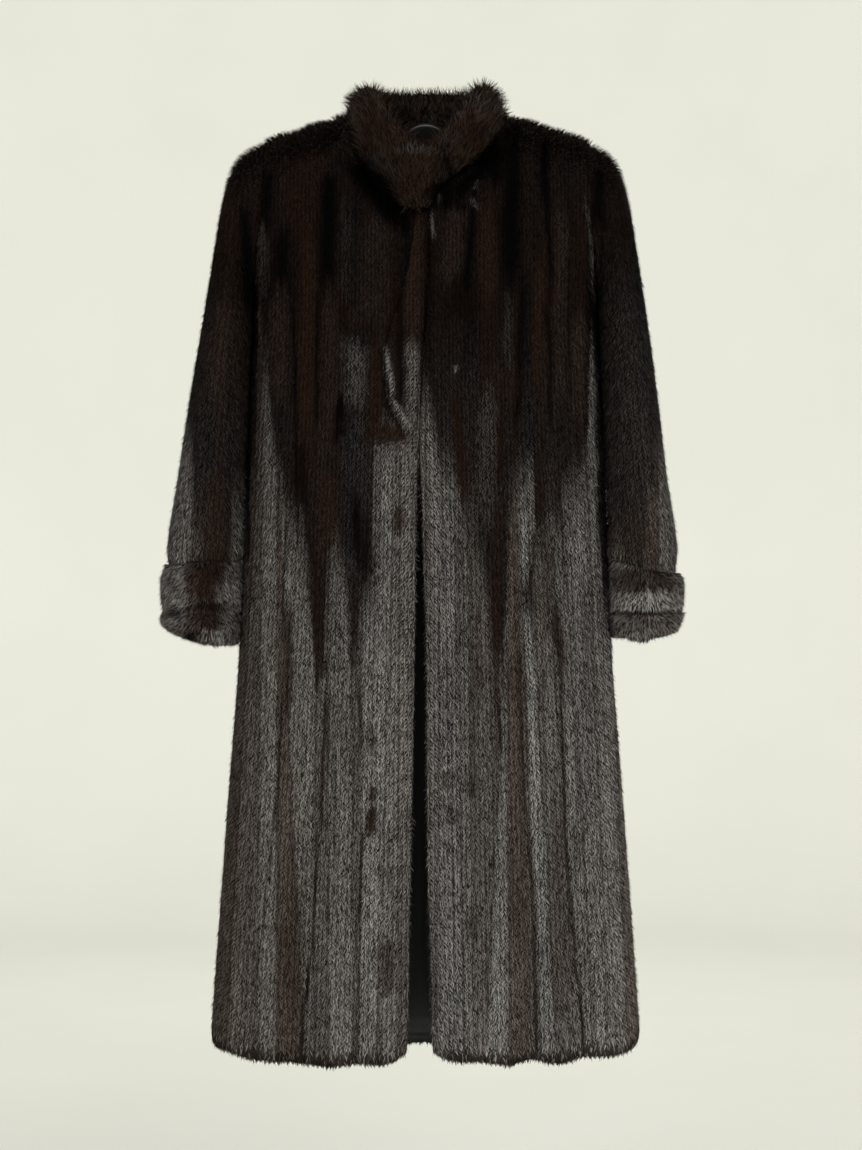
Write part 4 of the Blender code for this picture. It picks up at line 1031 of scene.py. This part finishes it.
def front_slant(side):
    """Nap of a front: as the body's, turned out over its front edge."""
    column = "right" if side < 0 else "left"

    def slant(places):
        x, _, z = in_mm(places)
        near = np.exp(-np.abs(x - look_up(FRONT_EDGES, "z", column, z)) / EDGE_REACH)
        return body_slant(places) + side * EDGE_FLARE * near

    return slant


def front_tones(points):
    """Tones of both fronts, with the painted shade and light of their folds, and duller in a border along
    the hem, where shade is painted as the hem rounds under.
    """
    silver, brown = pelt_tones(points, FRONT_STRIPS, FRONT_SILVER_AND_SHEEN, FRONT_STREAKS_AND_PAINTED_LIGHT, 31)
    x, _, z = in_mm(points)
    for fold_shading in FRONT_FOLD_SHADING:
        across = (x - fold_shading.x) / fold_shading.half_width
        along = (z - fold_shading.z) / fold_shading.half_height
        silver *= 1.0 - fold_shading.part * np.exp(-across ** 2 - along ** 2)
    # painted shade where the hem rounds under
    hem_shade_border = ease((BODY_HEM + HEM_SHADE_BORDER - points[:, 2]) / HEM_SHADE_BORDER)
    return silver * (1.0 - HEM_SHADE * hem_shade_border), brown + (BORDER_BROWN - brown) * hem_shade_border


for node, side, seed in (("front_right", -1, 41), ("front_left", 1, 42)):
    skin = skin_of(node, "pelt_" + node, body_outward, HAIR_LOFT, reshape=wave_hem)
    comb(skin, downwards, front_slant(side), body_columns)
    hair = plant_hair(skin, "fur_" + node, seed, front_tones, spacing=FRONT_SPACING,
                      columns=body_columns)
    finish_fur(node, skin, [hair], front_tones)

# ---------------------------------------------------------------------------------------------
# Lapel.  The top of the wearer's right front edge, rolled back on itself: a narrow tongue of
# fur that lies on the front and ends in a point at the waist.
# ---------------------------------------------------------------------------------------------
LAPEL_STRIPS = [Strip(-60, -60, 0.8, 0.8, 0.4)]
LAPEL_SILVER_AND_SHEEN = [Start(-60, -440), Start(-20, -460), Start(5, -460)]
# The first row is painted shade along the roll, and the last two rows are a painted highlight along the
# lapel's outer edge
LAPEL_STREAKS_AND_PAINTED_LIGHT = [
    Streak(-31, -139, -28, -376, 5, 0.9, 0, 0.15), Streak(-14, -133, -15, -303, 9.5, 0.8, 0.08, 0.95),
    Streak(-14, -306, -15, -415, 8, 0.8, 0.8, 0.5), Streak(-47, -301, -38, -374, 3, 0.9, 1, 0.2),
    Streak(-36, -376, -17, -413, 4, 0.9, 1, 0.2),
]
LAPEL_LOFT = 1.4 * MM


def frontwards(places, normals):
    """Way out of the lapel."""
    way = np.zeros_like(places)
    way[:, 1] = -1.0
    return way


def lapel_way(places):
    """Nap of the lapel: down and out to its free edge."""
    way = np.zeros_like(places)
    way[:, 0] = -0.3
    way[:, 2] = -1.0
    return way


def lapel_tones(points):
    """Tones of the lapel."""
    return pelt_tones(points, LAPEL_STRIPS, LAPEL_SILVER_AND_SHEEN, LAPEL_STREAKS_AND_PAINTED_LIGHT, 51)


pelt_lapel = skin_of("lapel", "pelt_lapel", frontwards, LAPEL_LOFT, sharp=180.0)
comb(pelt_lapel, lapel_way, body_slant, body_columns)
fur_lapel = plant_hair(pelt_lapel, "fur_lapel", 52, lapel_tones, spacing=FRONT_SPACING,
                       columns=body_columns)
finish_fur("lapel", pelt_lapel, [fur_lapel], lapel_tones)

# ---------------------------------------------------------------------------------------------
# Sleeves.  Each is cut in one piece with a seam under the arm and set into the armhole; the
# bands of pelt run down it and it hangs almost straight.
# ---------------------------------------------------------------------------------------------
SLEEVE_AXIS_TOP = Vector((232.0, 0.0, -150.0)) * MM
SLEEVE_AXIS_END = Vector((277.0, -13.0, -646.0)) * MM
SLEEVE_RADIUS = 55.0           # in millimetres, over the fur
SLEEVE_SPACING = 1.0 * MM
SLEEVE_DUST_AND_SHEEN = {-1: 0.01, 1: 0.07}
SLEEVE_DUST_AND_SHEEN_TOP = -150.0       # the dusting of silver, partly painted sheen, grows down from here
SLEEVE_DUST_AND_SHEEN_FADE = 150.0
SLEEVE_NAP_WANDER = 0.2        # radians, and how far the nap turns out from straight down
SLEEVE_NAP_TURN = 0.08
SLEEVE_NAP_PATCH = Patch(22.0, 130.0)
SLEEVE_FULL = 2.0              # how much fuller the outer side is near the cuff
SLEEVE_FULL_TOP = -470.0
SLEEVE_FULL_FADE = 60.0
SLEEVE_TOUCH = 6.0             # how far the end is pressed out against the body
SLEEVE_TOUCH_Z = -560.0
SLEEVE_TOUCH_REACH = 17.0
SLEEVE_STRIPS = {
    -1: [Strip(-340, -340, 0.75, 0.75, 0.3), Strip(-284, -284, 0.45, 0.45, 0.7),
         Strip(-240, -240, 0.6, 0.6, 0.4)],
    1: [Strip(190, 190, 0.55, 0.55, 0.7), Strip(250, 250, 0.45, 0.45, 0.9),
        Strip(284, 284, 0.8, 0.8, 0.5)],
}
SLEEVE_SILVER_AND_SHEEN = {
    -1: [Start(-325, -340), Start(-300, -370), Start(-286, -420), Start(-278, -540), Start(-262, -640),
         Start(-246, -640), Start(-238, -500), Start(-222, -480), Start(-200, -450)],
    1: [Start(200, -430), Start(218, -500), Start(232, -530), Start(250, -560), Start(262, -590),
        Start(276, -480), Start(286, -430), Start(300, -440), Start(325, -440)],
}
# The near-black rows on the inner sides are painted shadow in the gap between sleeve and body; the pale row
# from (273, -194) is a painted rim highlight down the left sleeve's outer edge
SLEEVE_STREAKS_AND_PAINTED_LIGHT = {
    -1: [
        Streak(-231, -90, -243, -182, 24.5, 0.4, 0.04, 0.7), Streak(-222, -139, -216, -254, 7.5, 0.9, 0, 0),
        Streak(-247, -254, -254, -376, 19.5, 0.5, 0.12, 0.8),
        Streak(-259, -464, -259, -585, 17, 0.8, 0.1, 0.85), Streak(-216, -352, -218, -571, 3, 0.9, 0, 0),
    ],
    1: [
        Streak(212, -90, 212, -163, 9.5, 0.9, 0, 0), Streak(216, -169, 221, -473, 3, 0.95, 0, 0),
        Streak(273, -194, 295, -413, 9.5, 0.4, 0.3, 0.4), Streak(244, -516, 251, -556, 22, 0.7, 0.1, 0.7),
    ],
}


def sleeve_axis(places, side):
    """Nearest points on a sleeve's own axis."""
    top = np.array(SLEEVE_AXIS_TOP) * (side, 1, 1)
    end = np.array(SLEEVE_AXIS_END) * (side, 1, 1)
    share = (places[:, 2] - top[2]) / (end[2] - top[2])
    return top + share[:, None] * (end - top)


def make_sleeve(node, side, seed):
    """One sleeve with its fur."""
    axis = np.array(SLEEVE_AXIS_END - SLEEVE_AXIS_TOP) * (side, 1, 1)
    axis /= np.linalg.norm(axis)

    def outward(places, normals):
        return unit(places - sleeve_axis(places, side))

    def down(places):
        return np.tile(axis, (len(places), 1))

    def slant(places):
        x, _, z = in_mm(places)
        wander = SLEEVE_NAP_WANDER * (mottle(x, z, SLEEVE_NAP_PATCH, seed) - 0.5)
        return wander - side * SLEEVE_NAP_TURN

    def tones(points):
        silver, brown = pelt_tones(points, SLEEVE_STRIPS[side], SLEEVE_SILVER_AND_SHEEN[side],
                                   SLEEVE_STREAKS_AND_PAINTED_LIGHT[side], seed + 1)
        below = SLEEVE_DUST_AND_SHEEN_TOP - points[:, 2] / MM
        return silver + SLEEVE_DUST_AND_SHEEN[side] * ease(below / SLEEVE_DUST_AND_SHEEN_FADE), brown

    def fill_out(places, normals):
        away = outward(places, normals)
        furred = outer_side(normals, away)
        z = places[:, 2] / MM
        near_body = ease((-side * away[:, 0] - 0.4) / 0.4)
        near_end = np.exp(-((z - SLEEVE_TOUCH_Z) / SLEEVE_TOUCH_REACH) ** 2)
        low = ease((SLEEVE_FULL_TOP - z) / SLEEVE_FULL_FADE)
        full = SLEEVE_FULL * low * ease((side * away[:, 0] - 0.2) / 0.5)
        swell = SLEEVE_TOUCH * near_end * near_body + full
        return settle_shoulders(places + away * (swell * furred * MM)[:, None])

    def columns(places):
        way = places - sleeve_axis(places, side)
        return np.arctan2(way[:, 0], -way[:, 1]) * SLEEVE_RADIUS / COLUMN_PAIR

    skin = skin_of(node, "pelt_" + node, outward, HAIR_LOFT, reshape=fill_out)
    comb(skin, down, slant, columns)
    hair = plant_hair(skin, "fur_" + node, seed, tones, spacing=SLEEVE_SPACING, columns=columns)
    finish_fur(node, skin, [hair], tones)


make_sleeve("sleeve_right", -1, 61)
make_sleeve("sleeve_left", 1, 66)

# ---------------------------------------------------------------------------------------------
# Cuffs.  Each is a band of mink turned back over the sleeve's end in a soft double roll and sewn
# down inside, with the fur outside and its nap fanning out downwards.
# ---------------------------------------------------------------------------------------------
CUFF_STRIPS = {
    -1: [Strip(-340, -340, 0.75, 0.75, 0.3), Strip(-290, -290, 0.28, 0.28, 0.8),
         Strip(-256, -256, 0.65, 0.65, 0.4)],
    1: [Strip(180, 180, 0.78, 0.78, 0.4)],
}
CUFF_SILVER = [Start(-330, -500), Start(330, -500)]
# The two dark rows that lie on the crease, from -620 to -637, are painted shade in it
CUFF_STREAKS_AND_PAINTED_LIGHT = {
    -1: [
        Streak(-267, -571, -270, -617, 18, 0.9, 0.05, 0.75),
        Streak(-252, -568, -259, -595, 12, 0.8, 0.04, 0.7),
        Streak(-308, -626, -307, -640, 17, 0.75, 0.05, 0.3),
        Streak(-265, -620, -265, -630, 19.5, 0.9, 0, 0.3),
        Streak(-264, -626, -262, -651, 16, 0.8, 0.08, 0.85),
        Streak(-259, -653, -258, -669, 14.5, 0.7, 1.2, 0.2),
        Streak(-298, -646, -296, -663, 18, 0.6, 0.3, 0.8),
        Streak(-285, -656, -285, -668, 11, 0.9, 0, 0.1),
        Streak(-301, -607, -296, -625, 14.5, 0.5, 0.95, 0.1),
        Streak(-240, -595, -240, -619, 13.5, 0.6, 1.1, 0.3),
    ],
    1: [
        Streak(254, -578, 254, -606, 19.5, 0.85, 0.12, 0.8),
        Streak(285, -580, 285, -607, 17, 0.85, 0.1, 0.8),
        Streak(268, -607, 268, -633, 44, 0.7, 1.3, 0.1),
        Streak(267, -630, 267, -637, 44, 0.9, 0.05, 0.4),
        Streak(273, -639, 273, -658, 41.5, 0.5, 0.5, 0.8),
        Streak(227, -643, 227, -658, 9.5, 0.6, 0.1, 0.3),
    ],
}
CUFF_LOFT = 1.5 * MM
CUFF_TOP = -572.0              # in millimetres
CUFF_CREASE = -634.0           # the two rolls meet in a crease at this height
CREASE_DEPTH = 5.0
CREASE_REACH = 5.0
CUFF_LOW = -630.0              # the bottom edge waves below this height
CUFF_LOW_FADE = 36.0
CUFF_TOP_FADE = 40.0           # and the top edge within this much of the top
CUFF_CHAMFER = 7.0             # how far the top edge leans in
CHAMFER_FADE = 20.0
BODY_TOUCH = 4.5               # how far the cuff is pressed out against the body
CUFF_UNDER = -655 * MM         # below this its underside begins, where the way out turns down
CUFF_UNDER_TURN = -0.03
CUFF_MIDDLE = {-1: -262.0, 1: 267.0}
CUFF_FAN = 34.0                # how far from its middle the nap runs down at 45 degrees
CUFF_NAP_WANDER = 0.3          # radians
CUFF_NAP_PATCH = Patch(18.0, 18.0)
CUFF_EDGE_SHADE = 6.0          # the hair is dark this far down from the top edge
CUFF_EDGE_BROWN = 0.3          # and keeps this part of its brown
DENSE_WIDTH = 0.9 * MM         # locks of the cuffs and of the collar, and their spacing
DENSE_SPACING = 0.82 * MM

# How far the soft edges of a cuff rise above their even height, in millimetres
CuffRise = namedtuple("CuffRise", "x top bottom")
CUFF_RISES = {
    -1: [CuffRise(-325, 0, 13), CuffRise(-316, 0, 10), CuffRise(-297, 3, 4), CuffRise(-284, 7, 1.5),
         CuffRise(-272, 9.5, -1), CuffRise(-255, 11, -2), CuffRise(-240, 13, 0),
         CuffRise(-230, 13, 6), CuffRise(-224, 14, 13), CuffRise(-218, 14, 22), CuffRise(-212, 14, 28)],
    1: [CuffRise(210, 17, 8), CuffRise(225, 16, 6), CuffRise(240, 6, 5), CuffRise(249, 2, 4),
        CuffRise(256, 0, 2), CuffRise(266, -3, 0), CuffRise(279, -5, 6), CuffRise(294, -7, 8.5),
        CuffRise(307, -7, 13), CuffRise(315, -7, 20), CuffRise(325, -7, 29)],
}


def make_cuff(node, side, seed):
    """One cuff with its fur."""
    axis = np.array(SLEEVE_AXIS_END - SLEEVE_AXIS_TOP) * (side, 1, 1)
    axis /= np.linalg.norm(axis)

    def outward(places, normals):
        way = places - sleeve_axis(places, side)
        way[:, 2] = np.where(places[:, 2] < CUFF_UNDER, CUFF_UNDER_TURN, 0.0)
        return unit(way)

    def fanned(places):
        way = np.zeros_like(places)
        way[:, 0] = (places[:, 0] / MM - CUFF_MIDDLE[side]) / CUFF_FAN
        way[:, 2] = -1.0
        return way

    def slant(places):
        x, _, z = in_mm(places)
        return CUFF_NAP_WANDER * (mottle(x, z, CUFF_NAP_PATCH, seed) - 0.5)

    def edge_rise(places, column):
        return look_up(CUFF_RISES[side], "x", column, places[:, 0] / MM)

    def roll(places, normals):
        away = outward(places, normals)
        furred = outer_side(normals, away)
        z = places[:, 2] / MM
        near_crease = np.exp(-((z - CUFF_CREASE) / CREASE_REACH) ** 2)
        groove = CREASE_DEPTH * near_crease * ease(-away[:, 1])
        near_top = ease((z - CUFF_TOP + CHAMFER_FADE) / CHAMFER_FADE)
        leaning = CUFF_CHAMFER * near_top * ease(side * away[:, 0] + 0.3)
        touching = BODY_TOUCH * ease((-side * away[:, 0] - 0.5) / 0.4)
        moved = places + away * ((touching - groove - leaning) * furred * MM)[:, None]
        top = edge_rise(moved, "top") * ease((z - CUFF_TOP + CUFF_TOP_FADE) / CUFF_TOP_FADE)
        bottom = edge_rise(moved, "bottom") * ease((CUFF_LOW - z) / CUFF_LOW_FADE)
        moved[:, 2] += (top + bottom) * MM
        return moved

    def tones(points):
        silver, brown = pelt_tones(points, CUFF_STRIPS[side], CUFF_SILVER, CUFF_STREAKS_AND_PAINTED_LIGHT[side],
                                   seed + 1)
        below = CUFF_TOP + edge_rise(points, "top") - 1.0 - points[:, 2] / MM
        shade = ease(below / CUFF_EDGE_SHADE)
        return silver * shade, brown * (CUFF_EDGE_BROWN + (1.0 - CUFF_EDGE_BROWN) * shade)

    def columns(places):
        return places[:, 0] / MM / COLUMN_PAIR

    skin = skin_of(node, "pelt_" + node, outward, CUFF_LOFT, sharp=180.0, reshape=roll)
    comb(skin, fanned, slant, columns)
    hair = plant_hair(skin, "fur_" + node, seed, tones, width=DENSE_WIDTH, lift=17.0, spread=9.0,
                      lean=0.0, spacing=DENSE_SPACING)
    finish_fur(node, skin, [hair], tones)


make_cuff("cuff_right", -1, 81)
make_cuff("cuff_left", 1, 86)

# ---------------------------------------------------------------------------------------------
# Collar.  A stand of two pelts sewn back to back, furred inside and out, whose right end laps
# over the left.  Its longer hair runs up to the rim and out to either side.
# ---------------------------------------------------------------------------------------------
COLLAR_STRIPS = [Strip(-120, -120, 0.12, 0.12, 0.9)]
COLLAR_SILVER = [Start(-120, 200), Start(120, 200)]
# The near-black rows, with no silver and no brown, are painted shadow on the collar's lower parts, and the
# two wide browner rows along the rim are partly painted top light
COLLAR_STREAKS_AND_PAINTED_LIGHT = [
    Streak(4, 10, 4, -36, 60, 0.55, 0.26, 0.95), Streak(57, 8, 62, -36, 15, 0.7, 0.36, 1),
    Streak(-100, -38, -87, -103, 8.5, 0.9, 0, 0.1), Streak(-89, -79, -50, -116, 16, 0.97, 0, 0),
    Streak(-55, -109, -28, -156, 12, 0.97, 0, 0), Streak(-27, 4, -31, -36, 12, 0.8, 0, 0.1),
    Streak(27, -6, 22, -33, 9, 0.7, 0, 0.1), Streak(19, -72, 34, -116, 6.5, 0.9, 0, 0.1),
    Streak(8, -121, 32, -152, 24.5, 0.9, 0, 0), Streak(90, -48, 76, -82, 9.5, 0.95, 0, 0),
    Streak(79, -75, 28, -118, 14.5, 0.95, 0, 0), Streak(-14, -96, -2, -152, 13.5, 0.8, 0.12, 1),
    Streak(-75, -9, -62, -55, 14.5, 0.5, 0.06, 1), Streak(54, -9, 64, -72, 16, 0.5, 0.05, 1),
    Streak(-9, -72, -9, -82, 29, 0.5, 0.4, 0.5),
]
COLLAR_LOFT = 1.5 * MM
RIM_SINK = 9.0                 # millimetres that the outer corners of the rim round off
RIM_CORNER_X = 66.0
RIM_CORNER_Z = -55.0
RIM_FLARE = 3.0                # and that the sides fill out below them
FLARE_X = 62.0
FLARE_Z = -75.0
CORNER_WIDTH = 22.0            # across and up over which both come in
CORNER_HEIGHT = 40.0
FOOT_REACH = 3.0               # how far its foot at the nape reaches down to the back's edge
FOOT_HEIGHT = 10.0
FOOT_DEPTH = 20.0
COLLAR_NAP_SPREAD = 3.0        # how far the nap turns out for each metre from the middle
COLLAR_NAP_WANDER = 1.5        # radians
COLLAR_NAP_PATCH = Patch(16.0, 16.0)
BLOTCH_PATCH = Patch(19.0, 15.0)
SPECK_PATCH = Patch(7.0, 8.0)
BLOTCH_SHARE = 0.65            # the rest comes from the specks
BLOTCH_LEAST = 0.15            # the part of its brown that the fur keeps at the least
BLOTCH_REACH = 1.8             # and what a blotch adds at most

# Height of the collar's foot at the nape, in millimetres
Foot = namedtuple("Foot", "x z")
NAPE_FEET = [Foot(0, -32), Foot(30, -31), Foot(56, -28), Foot(78, -24), Foot(91, -19),
             Foot(98.5, -12)]


def everywhere(places, normals):
    """Way out where a whole surface is furred: off it on every side."""
    return normals


def round_rim(places, normals):
    """Rounds the corners of the collar's rim, fills its sides out below them, and sets its foot
    on the back."""
    x = np.abs(places[:, 0]) / MM
    z = places[:, 2] / MM
    places = places.copy()
    corner = ease((x - RIM_CORNER_X) / CORNER_WIDTH)
    places[:, 2] -= RIM_SINK * MM * corner * ease((z - RIM_CORNER_Z) / CORNER_HEIGHT)
    beside = ease((x - FLARE_X) / CORNER_WIDTH)
    flare = RIM_FLARE * beside * ease((z - FLARE_Z) / CORNER_HEIGHT)
    places[:, 0] += np.sign(places[:, 0]) * flare * MM
    nape = look_up(NAPE_FEET, "x", "z", x)
    foot = ease((nape + FOOT_HEIGHT - z) / FOOT_HEIGHT) * ease(places[:, 1] / MM / FOOT_DEPTH)
    places[:, 2] -= FOOT_REACH * foot * MM
    return places


def upwards(places):
    """Nap of the collar."""
    way = np.zeros_like(places)
    way[:, 2] = 1.0
    way[:, 0] = places[:, 0] * COLLAR_NAP_SPREAD
    return way


def collar_slant(places):
    """The collar's nap wanders in locks."""
    x, _, z = in_mm(places)
    return COLLAR_NAP_WANDER * (mottle(x, z, COLLAR_NAP_PATCH, 91) - 0.5)


def collar_tones(points):
    """Tones of the collar, blotched where the fluffy hair parts."""
    silver, brown = pelt_tones(points, COLLAR_STRIPS, COLLAR_SILVER, COLLAR_STREAKS_AND_PAINTED_LIGHT, 92)
    x, _, z = in_mm(points)
    blotch = BLOTCH_SHARE * mottle(x, z, BLOTCH_PATCH, 95)
    blotch += (1.0 - BLOTCH_SHARE) * mottle(x, z, SPECK_PATCH, 96)
    return silver, np.clip(brown * (BLOTCH_LEAST + BLOTCH_REACH * blotch), 0.0, 1.0)


pelt_collar = skin_of("collar", "pelt_collar", everywhere, COLLAR_LOFT, sharp=180.0,
                      reshape=round_rim)
comb(pelt_collar, upwards, collar_slant, body_columns)
fur_collar = plant_hair(pelt_collar, "fur_collar", 93, collar_tones, length=10 * MM,
                        width=DENSE_WIDTH, lift=26.0, spread=16.0, lean=0.0, strays=0.15,
                        spacing=DENSE_SPACING)
finish_fur("collar", pelt_collar, [fur_collar], collar_tones)

# ---------------------------------------------------------------------------------------------
# Lining.  Acetate satin inside the back, built where the open front shows it.  It is sewn in
# along its edges and hangs close to the leather in soft creases, which its material draws.
# ---------------------------------------------------------------------------------------------
lining = skin_of("back_lining", "satin_lining", everywhere, 0.0)
lining.data.materials.clear()
lining.data.materials.append(satin)
only_satin = np.zeros(len(lining.data.polygons), dtype=np.int32)
lining.data.polygons.foreach_set("material_index", only_satin)
lining.data.attributes.remove(lining.data.attributes["cover"])
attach(lining, "root")
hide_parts("back_lining")

bpy.data.objects.remove(hair_pattern)

# ---------------------------------------------------------------------------------------------
# Studio.  A pale floor that sweeps up into a wall well behind the coat, and soft even light
# from the front with the key light a little to the right, and a weaker panel behind.
# ---------------------------------------------------------------------------------------------
PAPER = "#e9e9e0"
PAPER_SHADE = "#e4e4da"
FLOOR_Z = -1.62
FLOOR_FRONT = -6.0
SWEEP_START = 3.6
SWEEP_RADIUS = 1.6
SWEEP_STEPS = 24
WALL_TOP = 5.0
HALF_WIDTH = 7.0
SKY = "#f2f3ef"
SKY_STRENGTH = 0.62
SUN_ANGLE = 40.0               # degrees across, which keeps the shadows soft

# Lights: how strong each is, and how many degrees it stands to the right, and away from overhead
# towards the front
Light = namedtuple("Light", "name strength turn tilt")
LIGHTS = [Light("key", 1.0, 26.0, 60.0), Light("fill", 0.55, -30.0, 82.0),
          Light("top", 0.4, 0.0, -12.0)]
BACK_POWER = 8.0               # watts of a soft panel behind the coat
BACK_SIZE = 2.4
BACK_PLACE = (0.0, 3.0, 0.5)
BACK_TILT = -72.0

paper, tree, shader = new_material("matt paper", PAPER, Roughness=0.95)
shader.inputs["Specular IOR Level"].default_value = 0.1
place = add_node(tree, "ShaderNodeTexCoord").outputs["Object"]
# painted shade: the paper darkens a little in broad soft patches
paper_shade_patches = add_node(tree, "ShaderNodeTexNoise", {"Vector": place, "Scale": 3.0, "Detail": 2.0})
tint = add_node(tree, "ShaderNodeMix",
                {"Factor": paper_shade_patches.outputs["Fac"], "A": linear(PAPER), "B": linear(PAPER_SHADE)},
                data_type="RGBA")
tree.links.new(tint.outputs["Result"], shader.inputs["Base Color"])

profile = [(FLOOR_FRONT, FLOOR_Z)]
for step in range(SWEEP_STEPS + 1):
    angle = math.pi / 2 * step / SWEEP_STEPS
    profile.append((SWEEP_START + SWEEP_RADIUS * math.sin(angle),
                    FLOOR_Z + SWEEP_RADIUS * (1 - math.cos(angle))))
profile.append((SWEEP_START + SWEEP_RADIUS, WALL_TOP))
points = [(x, y, z) for y, z in profile for x in (-HALF_WIDTH, HALF_WIDTH)]
faces = [(2 * i, 2 * i + 1, 2 * i + 3, 2 * i + 2) for i in range(len(profile) - 1)]
mesh = bpy.data.meshes.new("studio_sweep")
mesh.from_pydata(points, [], faces)
mesh.shade_smooth()
mesh.materials.append(paper)
sweep = add_object("studio_sweep", mesh)

world = bpy.data.worlds.new("studio")
world.use_nodes = True
background = world.node_tree.nodes["Background"]
background.inputs["Color"].default_value = linear(SKY)
background.inputs["Strength"].default_value = SKY_STRENGTH
bpy.context.scene.world = world
for row in LIGHTS:
    light_data = bpy.data.lights.new(row.name, "SUN")
    light_data.energy = row.strength
    light_data.angle = math.radians(SUN_ANGLE)
    light = add_object(row.name, light_data)
    light.rotation_euler = (math.radians(row.tilt), 0.0, math.radians(row.turn))
panel_data = bpy.data.lights.new("back_panel", "AREA")
panel_data.energy = BACK_POWER
panel_data.size = BACK_SIZE
panel = add_object("back_panel", panel_data)
panel.location = BACK_PLACE
panel.rotation_euler = (math.radians(BACK_TILT), 0.0, 0.0)
panel.visible_camera = False
bpy.context.scene.view_settings.view_transform = "Standard"
